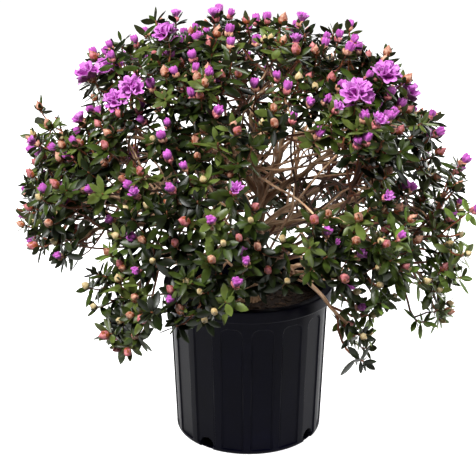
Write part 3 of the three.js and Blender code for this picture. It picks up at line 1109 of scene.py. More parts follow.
BOUGH_PLANS = (
    BoughPlan("left_arm", 181, 304, 412, 2, 46, 100),
    BoughPlan("left_front", 206, 282, 390, 2, 52, 85),
    BoughPlan("front_left", 232, 252, 346, 2, 62, 64),
    BoughPlan("front", 258, 248, 388, 2, 66, 92),
    BoughPlan("front_right", 291, 238, 346, 2, 52, 22),
    BoughPlan("hanging", 315, 208, 226, 1, 0, 0),
    BoughPlan("right_front", 319, 228, 414, 2, 76, 84),
    BoughPlan("right_low", 347, 284, 316, 2, 58, 90),
    BoughPlan("right_arm", 14, 270, 402, 2, 58, 90),
    BoughPlan("back_right", 52, 268, 368, 3, 74, 90),
    BoughPlan("back", 97, 268, 362, 3, 74, 90),
    BoughPlan("back_left", 144, 280, 372, 3, 74, 90),
    BoughPlan("high_left", 192, 215, 522, 2, 70, -25),
    BoughPlan("high_front", 266, 152, 540, 2, 72, 0),
    BoughPlan("high_right", 338, 195, 522, 2, 72, 20),
    BoughPlan("high_back", 92, 148, 550, 2, 80, 0),
    BoughPlan("top_left", 200, 100, 594, 2, 62, 160),
    BoughPlan("top_right", 356, 76, 598, 2, 64, 62),
)


def cylindrical(bearing: float, reach: float, height: float) -> Array:
    """The point at a bearing, reach and height round the pot's axis."""
    turn = math.radians(bearing)
    return np.array([reach * math.cos(turn), reach * math.sin(turn), height])


@dataclass(frozen=True)
class Ridges:
    """One wave of the bark's relief.

    around is the number of ridges round a limb, wander how far they sway with the limb's slow wave,
    climb the length in which they turn by a radian, and depth their height as a share of the radius.
    """

    around: float
    depth: float
    wander: float = 0.0
    climb: float = math.inf


BARK_RIDGES = (
    Ridges(around=3.0, depth=0.055, wander=2.0),
    Ridges(around=5.0, depth=0.05, wander=-3.0, climb=15.0),
    Ridges(around=8.0, depth=0.03, climb=7.0),
)


@dataclass
class Limbs:
    """Trunk, boughs and the stems of the masses, on the lines that the solids follow.

    The grids give rings to a limb and points to a ring. sway and sway_length are the slow wave that the
    bark's ridges follow, and ring_length, ring_wave and ring_depth the shallow rings that cross them.
    """

    ground: float = 212.3
    trunk_tip: Point = (22.0, 4.0, 398.0)
    trunk_bow: float = 6.0
    trunk_foot_radius: float = 14.0
    trunk_tip_radius: float = 9.0
    trunk_grid: Grid = (70, 36)
    flare_radius: float = 22.0
    flare_height: float = 12.1
    flare_fade: float = 1.3
    buttresses: int = 5
    buttress_share: float = 0.22
    leave_share: float = 0.42
    leave_at_least: float = 20.0
    leave_stagger: float = 26.0
    leave_top_share: float = 0.96
    bough_foot_radius: float = 4.9
    bough_tip_radius: float = 3.6
    bough_grid: Grid = (48, 14)
    bough_length: float = 220.0
    start_rise: float = 48.0
    start_reach: float = 0.4
    end_reach: float = 0.34
    stop_short: float = 84.0
    rim_height: float = 245.0
    rim_clearance: float = 28.0
    stem_offset: float = 2.7
    stem_lead: float = 0.4
    stem_sink: float = 2.0
    heart: Point = (-10.0, 0.0, 330.0)
    crook: float = 3.2
    sway: float = 0.8
    sway_length: float = 23.0
    ring_length: float = 4.6
    ring_wave: float = 2.0
    ring_depth: float = 0.03
    seed: int = 5

    def trunk_line(self) -> Array:
        """The trunk's bowed line.

        Returns:
            Three control points, from foot to fork.
        """
        foot = np.array([0.0, 0.0, self.ground])
        tip = np.array(self.trunk_tip)
        middle = (foot + tip) / 2.0 - np.array([self.trunk_bow, 0.0, 0.0])
        return np.stack([foot, middle, tip])

    def surface_at(self, place: Array) -> Tuple[Array, Array, Array]:
        """How the crown's surface lies at a place.

        Args:
            place: A point of the crown.

        Returns:
            Directions outward, level across the surface, and up it.
        """
        out = unit(place - np.array(self.heart))
        across = unit(np.cross(UP, out))
        return out, across, np.cross(out, across)

    def fan_places(self, plan: BoughPlan) -> Array:
        """The middles of a bough's masses, evenly turned about the fan's middle.

        Args:
            plan: Where the bough leads.

        Returns:
            Points, shape (masses, 3).
        """
        middle = cylindrical(plan.bearing, plan.reach, plan.height)
        _, across, upward = self.surface_at(middle)
        turns = np.radians(plan.tilt + np.arange(plan.masses) * 360.0 / plan.masses)
        return middle + plan.spread * turned(across, upward, turns)

    def bough_line(self, plan: BoughPlan, index: int) -> Array:
        """Controls of a bough's line: out of the trunk at a slant, then over towards its fan.

        Args:
            plan: Where the bough leads.
            index: The bough's number, which staggers where it leaves the trunk.

        Returns:
            Four control points.
        """
        middle = cylindrical(plan.bearing, plan.reach, plan.height)
        stagger = self.leave_stagger * ((index * GOLDEN_TURN / math.pi) % 1.0)
        rise = max(self.leave_at_least, self.leave_share * (plan.height - self.ground)) + stagger
        share = min(self.leave_top_share, rise / (self.trunk_tip[2] - self.ground))
        leave = bezier(self.trunk_line(), np.array([share]))[0]
        tip = middle + unit(leave - middle) * self.stop_short
        if plan.height < self.rim_height:
            tip[2] = max(tip[2], self.rim_height + self.rim_clearance)
        length = float(np.linalg.norm(leave - tip))
        slant = math.radians(self.start_rise)
        start = cylindrical(plan.bearing, math.cos(slant), math.sin(slant))
        finish = unit(middle - tip)
        first = leave + start * length * self.start_reach
        second = tip - finish * length * self.end_reach
        return np.stack([leave, first, second, tip])

    def bough_lines(self) -> Array:
        """Controls of all boughs, shape (boughs, 4, 3)."""
        return np.stack([self.bough_line(plan, index) for index, plan in enumerate(BOUGH_PLANS)])

    def stem_lines(self) -> Array:
        """Lines of the stems, one to each mass, from the boughs' tips to the masses' middles.

        Returns:
            Control points, shape (masses, 3, 3).
        """
        lines: List[Array] = []
        for plan, bough in zip(BOUGH_PLANS, self.bough_lines()):
            tip = bough[3]
            along = unit(bough[3] - bough[2])
            for place in self.fan_places(plan):
                aside = place - tip
                aside = unit(aside - np.dot(aside, along) * along)
                offset = 0.0 if plan.masses == 1 else self.stem_offset
                start = tip + aside * offset - along * self.stem_sink
                lead = self.stem_lead * float(np.linalg.norm(place - start))
                lines.append(np.stack([start, start + along * lead, place]))
        return np.stack(lines)

    def bark(self, count: int, grid: Grid, length: float, rng: Random) -> Array:
        """Bark relief: ridges that wander along the limb, crossed by shallow rings.

        Args:
            count: Number of limbs.
            grid: Rings to a limb, and points to a ring.
            length: A limb's usual length.
            rng: Source of the ridges' phases.

        Returns:
            Share by which the radius grows, shape (limbs, rings, points).
        """
        stations, columns = grid
        turn = evenly_turned(columns)[None, None, :]
        along = np.linspace(0.0, length, stations)[None, :, None]
        phases = rng.uniform(0.0, FULL_TURN, (2 + len(BARK_RIDGES), count, 1, 1))
        sway = self.sway * np.sin(along / self.sway_length + phases[0])
        relief = np.zeros((count, stations, columns))
        for ridges, phase in zip(BARK_RIDGES, phases[1:]):
            angle = ridges.around * turn + ridges.wander * sway + along / ridges.climb + phase
            relief = relief + np.sin(angle) * ridges.depth
        rings = np.sin(along / self.ring_length + self.ring_wave * np.sin(turn + phases[-1]))
        return relief + rings * self.ring_depth

    def trunk(self) -> Surface:
        """The trunk: its tapered, flared circle carried up the bowed line, with bark relief.

        The flare widens the foot by five root buttresses that die away with height.

        Returns:
            One closed surface.
        """
        rng = np.random.default_rng(self.seed)
        stations, columns = self.trunk_grid
        share = np.linspace(0.0, 1.0, stations)
        path = bezier(self.trunk_line(), share)[None]
        risen = path[0, :, 2] - self.ground
        radii = blend(self.trunk_foot_radius, self.trunk_tip_radius, share)
        relief = self.bark(1, self.trunk_grid, risen[-1], rng)
        fade = np.exp(-((risen / self.flare_height) ** self.flare_fade))[:, None]
        roots = self.buttress_share * np.cos(self.buttresses * evenly_turned(columns))
        widest = self.flare_radius / self.trunk_foot_radius - 1.0
        swell = widest * fade * (1.0 - self.buttress_share + roots)
        return tubes(path, radii[None], columns, relief + swell[None])

    def boughs(self) -> Surface:
        """The boughs: tapered circles carried along their crooked lines, with bark relief.

        Returns:
            The joined surface.
        """
        rng = np.random.default_rng(self.seed + 1)
        stations, columns = self.bough_grid
        share = np.linspace(0.0, 1.0, stations)
        paths = crooked(bezier(self.bough_lines(), share), self.crook, rng)
        radius = blend(self.bough_foot_radius, self.bough_tip_radius, share)
        radii = np.repeat(radius[None], len(paths), axis=0)
        relief = self.bark(len(paths), self.bough_grid, self.bough_length, rng)
        return tubes(paths, radii, columns, relief)

    def build(self, shop: PieceShop) -> None:
        """Makes the trunk and the boughs.

        Args:
            shop: The maker of the pieces.
        """
        shop.make("trunk_bark", self.trunk(), [TRUNK_BARK], ["trunk"])
        nodes = [f"bough_{plan.name}" for plan in BOUGH_PLANS]
        shop.make("bough_bark", self.boughs(), [TRUNK_BARK], nodes)


@dataclass(frozen=True)
class Softbox:
    """A square area light: its place, aim and side in metres, and its power in watts."""

    name: str
    place: Point
    aim: Point
    side: float
    watts: float

    def hang(self) -> None:
        """Adds the light to the scene."""
        light = bpy.data.lights.new(self.name, "AREA")
        light.size = self.side
        light.energy = self.watts
        lamp = bpy.data.objects.new(self.name, light)
        lamp.location = self.place
        towards = Vector(self.aim) - Vector(self.place)
        lamp.rotation_euler = towards.to_track_quat("-Z", "Y").to_euler()
        bpy.context.scene.collection.objects.link(lamp)


SOFTBOXES = (
    Softbox("key_light", place=(-1.2, -1.7, 2.8), aim=(0.0, 0.0, 0.4), side=1.0, watts=150.0),
    Softbox("fill_light", place=(2.0, -1.0, 1.9), aim=(0.0, 0.0, 0.35), side=1.0, watts=34.0),
    Softbox("back_light", place=(0.4, 2.2, 2.3), aim=(0.0, 0.0, 0.45), side=1.4, watts=36.0),
    Softbox("left_rim_light", place=(-1.5, 1.7, 0.7), aim=(0.0, 0.0, 0.25), side=1.0, watts=24.0),
    Softbox("right_rim_light", place=(1.5, 1.7, 0.7), aim=(0.0, 0.0, 0.25), side=1.0, watts=24.0),
)


@dataclass
class Studio:
    """A pale floor, soft light, and the camera at the picture's angle.

    The camera's clip distances are in metres, and its focal length is in the picture's pixels.
    """

    camera_place: Point = (-16.7, -1800.0, 953.0)
    camera_pitch: float = 19.19
    focal_pixels: float = 1244.0
    sensor_width: float = 36.0
    clip: Span = (0.05, 100.0)
    floor_size: float = 30000.0
    world_strength: float = 0.03

    def project(self, places: Array) -> Tuple[Array, Array]:
        """Where places show in the picture.

        A place's offset from the camera is split along the camera's right, up and forward
        directions; right and up over forward, times the focal length, give the pixel.

        Args:
            places: Points, shape (N, 3).

        Returns:
            Pixels, shape (N, 2), and depths in millimetres, shape (N,).
        """
        pitch = math.radians(self.camera_pitch)
        offset = places - np.array(self.camera_place)
        depth = offset[:, 1] * math.cos(pitch) - offset[:, 2] * math.sin(pitch)
        rise = offset[:, 1] * math.sin(pitch) + offset[:, 2] * math.cos(pitch)
        u = IMAGE_WIDTH / 2.0 + self.focal_pixels * offset[:, 0] / depth
        v = IMAGE_HEIGHT / 2.0 - self.focal_pixels * rise / depth
        return np.stack([u, v], axis=-1), depth

    def floor(self) -> None:
        """A wide level floor under the pot."""
        half = self.floor_size / 2.0
        side = np.array([-half, half])
        x, y = np.meshgrid(side, side)
        points = np.stack([x.ravel(), y.ravel(), np.zeros(4)], axis=-1)
        surface = Surface(points, np.array([[0, 1, 3, 2]]), np.zeros((0, 3), dtype=int))
        mesh = surface.mesh("studio_floor", SHARP_ANGLE)
        mesh.materials.append(STUDIO_WHITE.material())
        floor = bpy.data.objects.new("studio_floor", mesh)
        bpy.context.scene.collection.objects.link(floor)
        floor.visible_diffuse = False

    def lights(self) -> None:
        """A faint even room, with softboxes before, beside and behind the plant."""
        world = bpy.data.worlds.new("studio_room")
        world.use_nodes = True
        background = world.node_tree.nodes["Background"]
        background.inputs["Color"].default_value = (1.0, 1.0, 1.0, 1.0)
        background.inputs["Strength"].default_value = self.world_strength
        bpy.context.scene.world = world
        for softbox in SOFTBOXES:
            softbox.hang()
        bpy.context.scene.view_settings.view_transform = "Standard"

    def camera(self) -> None:
        """The camera, level from side to side and pitched down at the plant."""
        data = bpy.data.cameras.new("picture_camera")
        data.sensor_fit = "HORIZONTAL"
        data.sensor_width = self.sensor_width
        data.lens = self.focal_pixels / IMAGE_WIDTH * self.sensor_width
        data.clip_start, data.clip_end = self.clip
        camera = bpy.data.objects.new("picture_camera", data)
        camera.location = Vector(self.camera_place) * MM
        camera.rotation_euler = (math.radians(90.0 - self.camera_pitch), 0.0, 0.0)
        bpy.context.scene.collection.objects.link(camera)
        bpy.context.scene.camera = camera

    def build(self) -> None:
        """Makes floor, lights and camera."""
        self.floor()
        self.lights()
        self.camera()


@dataclass(frozen=True)
class Shoot:
    """One shoot: its line, the way its whorl faces, and the whorl's turn and vigour."""

    line: Array
    facing: Array
    phase: float
    vigour: float


@dataclass
class Growth:
    """What the crown's rule has grown: lines of twigs, and the whorls at the shoots' tips."""

    stems: Array
    sprays: Array
    shoots: Array
    facing: Array
    phase: Array
    vigour: Array

    @property
    def spots(self) -> Array:
        """The shoots' tips, where the whorls stand."""
        return self.shoots[:, 2]


@dataclass
class Crown:
    """The rule that fills each mass: a stem, sprays spread over a patch of the crown, and shoots.

    A spray leaves the stem the lower, the further out it ends. It carries a shoot at its tip and
    others at its sides, and a whorl ends each shoot. Patches are fuller at the top and on the far side:
    far_side, upper, lower and top are where these parts of the crown begin, and the distance over which
    they set in. clearings are places that stay open: the middles and half sizes of ellipsoids.
    """

    curve: float = 210.0
    sprays: int = 7
    side_shoots: int = 2
    patch_radius: float = 69.0
    far_side: Span = (20.0, 90.0)
    upper: Span = (380.0, 60.0)
    lower: Span = (350.0, -40.0)
    top: Span = (500.0, 60.0)
    fuller_behind: float = 0.25
    fuller_above: float = 0.1
    fuller_low_behind: float = 0.22
    more_above: int = 2
    more_low_behind: int = 2
    patch_uneven: float = 20.0
    patch_stand: float = 16.0
    side_reach: float = 30.0
    side_sizes: Span = (0.8, 1.2)
    side_stray: float = 0.5
    side_depth: Span = (-1.0, 0.7)
    side_leave: Span = (0.35, 0.7)
    tip_leave: float = 0.72
    lead: float = 0.4
    span: float = 0.6
    face_out: float = 0.6
    face_up: float = 0.5
    face_aside: float = 0.35
    face_stray: float = 0.18
    pot_radius: float = 150.0
    pot_height: float = 262.0
    ceiling: float = 642.0
    long_share: float = 0.16
    long_reach: float = 24.0
    clearings: Tuple[Tuple[Point, Point], ...] = (
        ((78.0, -170.0, 464.0), (84.0, 150.0, 50.0)),
        ((85.0, 240.0, 352.0), (46.0, 90.0, 46.0)),
        ((244.0, -10.0, 388.0), (42.0, 150.0, 40.0)),
        ((-248.0, -60.0, 348.0), (46.0, 130.0, 34.0)),
        ((58.0, -215.0, 258.0), (90.0, 110.0, 56.0)),
        ((-280.0, -110.0, 240.0), (90.0, 150.0, 70.0)),
        ((288.0, -40.0, 170.0), (84.0, 140.0, 44.0)),
        ((208.0, -140.0, 228.0), (42.0, 80.0, 44.0)),
        ((70.0, -190.0, 180.0), (58.0, 100.0, 40.0)),
        ((-8.0, -278.0, 277.0), (50.0, 60.0, 27.0)),
        ((-93.0, -279.0, 242.0), (20.0, 30.0, 16.0)),
        ((-285.0, -40.0, 535.0), (50.0, 140.0, 46.0)),
        ((-372.0, -45.0, 378.0), (26.0, 110.0, 30.0)),
        ((334.0, -106.0, 360.0), (22.0, 60.0, 26.0)),
        ((88.0, -245.0, 320.0), (46.0, 40.0, 26.0)),
    )

    def facing(self, out: Array, aside: Array, rng: Random) -> Array:
        """The way a whorl faces: outwards, upwards and away from its mass's middle."""
        way = out * self.face_out + UP * self.face_up + aside * self.face_aside / self.patch_radius
        return unit(way + rng.normal(0.0, self.face_stray, 3))

    def line_to(self, leave: Array, spot: Array, facing: Array) -> Array:
        """Controls of a twig that ends at a spot, along the way that the spot faces."""
        bend = spot - facing * self.lead * float(np.linalg.norm(spot - leave))
        return np.stack([leave, bend, spot])

    def free(self, spot: Array) -> bool:
        """Whether a twig may end at a spot.

        Args:
            spot: The point.

        Returns:
            True below the crown's top, clear of the pot and outside the open places.
        """
        if spot[2] > self.ceiling:
            return False
        for middle, radii in self.clearings:
            if np.linalg.norm((spot - np.array(middle)) / np.array(radii)) < 1.0:
                return False
        over_pot = math.hypot(spot[0], spot[1]) < self.pot_radius
        return not (over_pot and spot[2] < self.pot_height)

    def fullness(self, middle: Array) -> Tuple[float, int]:
        """How full a mass's patch is.

        Args:
            middle: The mass's middle.

        Returns:
            The patch's radius, and its number of sprays.
        """
        far_side = float(onset(middle[1], *self.far_side))
        behind = far_side * float(onset(middle[2], *self.upper))
        low_behind = far_side * float(onset(middle[2], *self.lower))
        above = float(onset(middle[2], *self.top))
        fuller = self.fuller_behind * behind + self.fuller_above * above
        fuller += self.fuller_low_behind * low_behind
        more = self.more_above * above + self.more_low_behind * low_behind
        return self.patch_radius * (1.0 + fuller), self.sprays + round(more)

    def shoots_of(self, spray: Array, stem: Array, limbs: Limbs, rng: Random) -> List[Shoot]:
        """Grows the shoots of one spray: the first goes on from its tip, the others stand aside.

        Args:
            spray: Control points of the spray.
            stem: Control points of the mass's stem, which ends in the mass's middle.
            limbs: The limbs that give the crown's surface.
            rng: Source of the shoots' turns, reaches and vigour.

        Returns:
            The shoots whose tips are free.
        """
        middle = stem[2]
        out, across, upward = limbs.surface_at(middle)
        grown: List[Shoot] = []
        start_turn = rng.uniform(0.0, FULL_TURN)
        for number in range(self.side_shoots + 1):
            turn = start_turn + number * FULL_TURN / self.side_shoots
            turn += rng.uniform(-self.side_stray, self.side_stray)
            reach = self.side_reach * rng.uniform(*self.side_sizes)
            shift = reach * (math.cos(turn) * across + math.sin(turn) * upward)
            depth = rng.uniform(*self.side_depth) * self.patch_uneven
            share = rng.uniform(*self.side_leave)
            if number == 0:
                shift = np.zeros(3)
                depth = 0.0
                share = self.tip_leave
            if rng.uniform(0.0, 1.0) < self.long_share:
                depth += self.long_reach
            target = spray[2] + shift + out * depth
            facing = self.facing(out, target - middle, rng)
            phase = rng.uniform(0.0, FULL_TURN)
            vigour = rng.uniform(0.0, 1.0)
            if self.free(target):
                leave = bezier(spray, np.array([share]))[0]
                grown.append(Shoot(self.line_to(leave, target, facing), facing, phase, vigour))
        return grown

    def grow(self, limbs: Limbs) -> Growth:
        """Grows the sprays and shoots of every mass.

        Spray i of n ends sqrt((i + 0.5) / n) of the patch's radius off its middle, i golden angles round
        it, on a bowl that falls away with the square of that distance.

        Args:
            limbs: The trunk and boughs that carry the masses.

        Returns:
            Lines of all twigs, and the whorls' directions.
        """
        stems = limbs.stem_lines()
        sprays: List[Array] = []
        shoots: List[Shoot] = []
        for mass, stem in enumerate(stems):
            rng = np.random.default_rng(mass + 1)
            middle = stem[2]
            out, across, upward = limbs.surface_at(middle)
            phase = rng.uniform(0.0, FULL_TURN)
            patch_radius, count = self.fullness(middle)
            for number in range(count):
                turn = phase + number * GOLDEN_TURN
                reach = patch_radius * math.sqrt((number + 0.5) / count)
                aside = reach * (math.cos(turn) * across + math.sin(turn) * upward)
                uneven = rng.uniform(-1.0, 1.0) * self.patch_uneven
                stand = self.patch_stand + uneven - reach * reach / (2.0 * self.curve)
                spot = middle + aside + out * stand
                facing = self.facing(out, aside, rng)
                if self.free(spot):
                    leave_share = 1.0 - self.span * reach / self.patch_radius
                    leave = bezier(stem, np.array([leave_share]))[0]
                    spray = self.line_to(leave, spot, facing)
                    sprays.append(spray)
                    shoots += self.shoots_of(spray, stem, limbs, rng)
        log.info("%d masses, %d sprays, %d shoots", len(stems), len(sprays), len(shoots))
        return Growth(
            stems=stems,
            sprays=np.stack(sprays),
            shoots=np.stack([shoot.line for shoot in shoots]),
            facing=np.stack([shoot.facing for shoot in shoots]),
            phase=np.array([shoot.phase for shoot in shoots]),
            vigour=np.array([shoot.vigour for shoot in shoots]),
        )


def mass_nodes() -> List[str]:
    """Names of the leafy solids."""
    return [f"leaves_{plan.name}_{i + 1}" for plan in BOUGH_PLANS for i in range(plan.masses)]


@dataclass(frozen=True)
class Taper:
    """A kind of twig: its radius at foot and tip, its crook, its rings, and points to a ring."""

    foot: float
    tip: float
    crook: float
    stations: int
    columns: int

    def along(self, lines: Array, seed: int) -> Surface:
        """Twigs as tapered circles carried along slightly crooked lines.

        Args:
            lines: Control points, shape (twigs, D + 1, 3).
            seed: Seed of the crooks.

        Returns:
            The joined surface.
        """
        rng = np.random.default_rng(seed + len(lines))
        share = np.linspace(0.0, 1.0, self.stations)
        paths = crooked(bezier(lines, share), self.crook, rng)
        radii = np.repeat(blend(self.foot, self.tip, share)[None], len(lines), axis=0)
        return tubes(paths, radii, self.columns)


@dataclass
class Twigs:
    """Stems, sprays, shoots, and the long slender stems inside the crown.

    An inner stem ends within inner_search of its bough's tip and leaves the bough at a share
    inner_leave of its length. inner_bend weighs its ends in the place of its bend.
    """

    stem: Taper = Taper(foot=3.4, tip=2.2, crook=2.4, stations=14, columns=8)
    spray: Taper = Taper(foot=2.0, tip=1.4, crook=2.0, stations=9, columns=6)
    shoot: Taper = Taper(foot=1.5, tip=1.15, crook=1.2, stations=6, columns=5)
    inner: Taper = Taper(foot=2.1, tip=1.3, crook=2.6, stations=14, columns=6)
    inner_per_bough: int = 6
    inner_search: Span = (70.0, 230.0)
    inner_above: float = 300.0
    inner_leave: Span = (0.2, 0.85)
    inner_bend: Span = (0.45, 0.55)
    inner_arch: Span = (-0.2, 0.25)
    inner_stray: float = 0.14
    brown_share: float = 0.42
    seed: int = 23

    def inner_lines(self, limbs: Limbs, growth: Growth) -> Array:
        """Lines of slender stems that leave a bough low down, arch, and end where a shoot begins.

        Args:
            limbs: The boughs.
            growth: The shoots; each stem goes to one that is near its bough's tip.

        Returns:
            Control points, shape (stems, 3, 3).
        """
        rng = np.random.default_rng(self.seed)
        feet = growth.shoots[:, 0]
        lines: List[Array] = []
        for bough in limbs.bough_lines():
            away = np.linalg.norm(feet - bough[3], axis=-1)
            near = (away > self.inner_search[0]) & (away < self.inner_search[1])
            near &= feet[:, 2] > self.inner_above
            if not near.any():
                continue
            for foot in rng.choice(feet[near], self.inner_per_bough):
                leave = bezier(bough, rng.uniform(*self.inner_leave, 1))[0]
                span = float(np.linalg.norm(foot - leave))
                arch = rng.normal(0.0, self.inner_stray, 3) + UP * rng.uniform(*self.inner_arch)
                bend = leave * self.inner_bend[0] + foot * self.inner_bend[1] + arch * span
                lines.append(np.stack([leave, bend, foot]))
        return np.stack(lines)

    def two_toned(self, surface: Surface, twigs: int) -> Surface:
        """Gives the second finish to a share of the twigs, dealt out twig by twig.

        Args:
            surface: Twigs that all have the same number of faces.
            twigs: How many there are.

        Returns:
            The same surface.
        """
        rng = np.random.default_rng(self.seed + 1)
        brown = (rng.uniform(0.0, 1.0, twigs) < self.brown_share).astype(np.int32)
        surface.quad_dress = np.repeat(brown, len(surface.quads) // twigs)
        surface.triangle_dress = np.repeat(brown, len(surface.triangles) // twigs)
        return surface

    def build(self, shop: PieceShop, limbs: Limbs, growth: Growth) -> None:
        """Makes the tan and brown branchlets, and the younger, red sprays and shoots.

        Args:
            shop: The maker of the pieces.
            limbs: The boughs.
            growth: The lines of all twigs.
        """
        inner_lines = self.inner_lines(limbs, growth)
        stems = self.two_toned(self.stem.along(growth.stems, self.seed), len(growth.stems))
        inner = self.two_toned(self.inner.along(inner_lines, self.seed), len(inner_lines))
        sprays = self.spray.along(growth.sprays, self.seed)
        shoots = self.shoot.along(growth.shoots, self.seed)
        branchlets = Surface.joined([stems, inner])
        shop.make("branchlets", branchlets, [TAN_TWIG, BROWN_TWIG], mass_nodes())
        shop.make("shoots", Surface.joined([sprays, shoots]), [RED_TWIG], mass_nodes())


@dataclass
class LeafStand:
    """Where leaves stand: roots, directions and sizes, one row to a leaf."""

    root: Array
    along: Array
    across: Array
    length: Array
    half_width: Array
    droop: Array

    def picked(self, chosen: Array) -> "LeafStand":
        """The leaves that a mask picks."""
        rows = {field.name: getattr(self, field.name)[chosen] for field in fields(self)}
        return LeafStand(**rows)


@dataclass
class Leaves:
    """The leaves: a close spiral of them at each shoot's tip, and a few older ones below.

    Angles of lowest, highest and stray are in degrees, turn_stray and roll_stray in radians. stations
    are the rows along a blade and columns the points across it. low, right, high and over_pot say
    where each part of the crown sets in, and over what distance, for the greens; the darker greens low
    over the pot are painted shade under the crown.
    """

    whorl: int = 9
    older: int = 3
    length: float = 27.5
    length_uneven: float = 4.0
    slimness: float = 0.38
    widest: float = 1.12
    lowest: float = -3.0
    highest: float = 64.0
    stray: float = 9.0
    spiral_depth: float = 9.0
    older_depth: Span = (13.0, 34.0)
    lowest_root: float = 0.05
    turn_stray: float = 0.12
    roll_stray: float = 0.48
    lift_power: float = 1.25
    vigour: Span = (0.84, 1.1)
    top_length: float = 0.66
    top_power: float = 1.5
    width_uneven: Span = (0.9, 1.12)
    droop: Span = (0.03, 0.2)
    thickness: float = 0.7
    taper: float = 2.1
    midrib_rise: float = 0.3
    margin_roll: float = 0.42
    pot_radius: float = 136.0
    pot_height: float = 249.0
    stations: Tuple[float, ...] = (0.07, 0.24, 0.45, 0.67, 0.87)
    columns: Tuple[float, ...] = (-1.0, -0.5, 0.0, 0.5, 1.0)
    low: Span = (430.0, -130.0)
    right: Span = (140.0, 110.0)
    high: Span = (420.0, 200.0)
    over_pot: Span = (190.0, -90.0)
    lighter_low: float = 0.1
    lighter_right: float = 0.66
    lighter_high: float = 0.04
    # Painted shade: how much darker the greens are low over the pot.
    deeper_over_pot: float = 0.3
    tone_steps: Tuple[float, ...] = (0.37, 0.74, 1.02)
    sharp_angle: float = 70.0
    seed: int = 41

    def stand(self, growth: Growth) -> Tuple[LeafStand, Array]:
        """Places the leaves of every whorl.

        Leaf i of a whorl is turned i golden angles about the shoot. From the lowest to the topmost
        they rise from below level to steep, grow shorter, and stand closer to the tip.

        Args:
            growth: The shoots.

        Returns:
            The leaves, and the number of the shoot that carries each.
        """
        rng = np.random.default_rng(self.seed)
        each = self.whorl + self.older
        grid = (len(growth.shoots), each)
        rank = np.concatenate([np.zeros(self.older), np.linspace(0.0, 1.0, self.whorl)])
        young = np.arange(each) >= self.older
        depth = np.where(young, self.spiral_depth * (1.0 - rank), 0.0)[None, :]
        depth = depth + np.where(young, 0.0, rng.uniform(*self.older_depth, grid))
        foot, bend, tip = (growth.shoots[:, None, control] for control in range(3))
        span = np.linalg.norm(tip - foot, axis=-1)
        share = np.clip(1.0 - depth / np.maximum(span, 1.0), self.lowest_root, 1.0)[..., None]
        left = 1.0 - share
        root = foot * left**2 + bend * 2 * share * left + tip * share**2
        facing = growth.facing[:, None]
        first, second = axes_across(growth.facing)
        turn = growth.phase[:, None] + np.arange(each) * GOLDEN_TURN
        turn = turn + rng.normal(0.0, self.turn_stray, grid)
        radial = turned(first[:, None], second[:, None], turn)
        lift = blend(self.lowest, self.highest, rank**self.lift_power)
        lift = np.radians(lift + rng.normal(0.0, self.stray, grid))
        along = turned(radial, facing, lift)
        across = np.cross(facing, radial)
        above = np.cross(along, across)
        across = turned(across, above, rng.normal(0.0, self.roll_stray, grid))
        vigour = blend(*self.vigour, growth.vigour)[:, None]
        length = (self.length + rng.normal(0.0, self.length_uneven, grid)) * vigour
        length = length * blend(1.0, self.top_length, rank**self.top_power)
        half = length * self.slimness * rng.uniform(*self.width_uneven, grid) / 2.0
        droop = rng.uniform(*self.droop, grid)
        shoot = np.repeat(np.arange(grid[0]), each)
        stand = LeafStand(
            root=root.reshape(-1, 3),
            along=along.reshape(-1, 3),
            across=across.reshape(-1, 3),
            length=length.ravel(),
            half_width=half.ravel(),
            droop=droop.ravel(),
        )
        kept = self.clear_of_pot(stand)
        return stand.picked(kept), shoot[kept]

    def clear_of_pot(self, stand: LeafStand) -> Array:
        """Which leaves are clear of the pot.

        Args:
            stand: Where the leaves stand.

        Returns:
            True for each leaf whose root, middle and tip lie outside the pot.
        """
        clear = np.ones(len(stand.root), dtype=bool)
        for share in (0.0, 0.5, 1.0):
            place = stand.root + stand.along * (stand.length * share)[:, None]
            inside = np.hypot(place[:, 0], place[:, 1]) < self.pot_radius
            clear &= ~(inside & (place[:, 2] < self.pot_height))
        return clear

    def surface(self, stand: LeafStand) -> Surface:
        """The leaves' thin closed blades.

        With s along a leaf and t across it, the half width is 1 - |2 s^widest - 1|^taper, the blade
        droops with s squared, and its section rises from the midrib with |t| and rolls under at the
        margin with t squared. A line of points a little below the midrib closes the underside.

        Args:
            stand: Where the leaves stand.

        Returns:
            The joined surface; its underside takes the second finish, a green darkened by painted shade.
        """
        count = len(stand.root)
        s = np.array(self.stations)
        t = np.array(self.columns)
        half = 1.0 - np.abs(2.0 * s**self.widest - 1.0) ** self.taper
        above = np.cross(stand.along, stand.across)
        width = stand.half_width[:, None] * half[None, :]
        section = self.midrib_rise * np.abs(t) - self.margin_roll * t * t
        along = stand.length[:, None] * s[None, :]
        sag = -(stand.droop * stand.length)[:, None] * (s * s)[None, :]
        rise = sag[:, :, None] + width[:, :, None] * section
        spine = stand.root[:, None] + stand.along[:, None] * along[..., None]
        blade = spine[:, :, None] + stand.across[:, None, None] * (width[:, :, None] * t)[..., None]
        blade = blade + above[:, None, None] * rise[..., None]
        under = spine + above[:, None] * (sag - self.thickness)[..., None]
        rows = np.concatenate([blade, under[:, :, None]], axis=2).reshape(count, -1, 3)
        tip_rise = -(stand.droop * stand.length)[:, None] * above
        tip = stand.root + stand.along * stand.length[:, None] + tip_rise
        points = np.concatenate([stand.root[:, None], rows, tip[:, None]], axis=1)
        quads, triangles, quad_dress, triangle_dress = self.faces()
        each = points.shape[1]
        return Surface(
            points=points.reshape(-1, 3),
            quads=repeated(quads, count, each),
            triangles=repeated(triangles, count, each),
            quad_dress=np.tile(quad_dress, count),
            triangle_dress=np.tile(triangle_dress, count),
        )

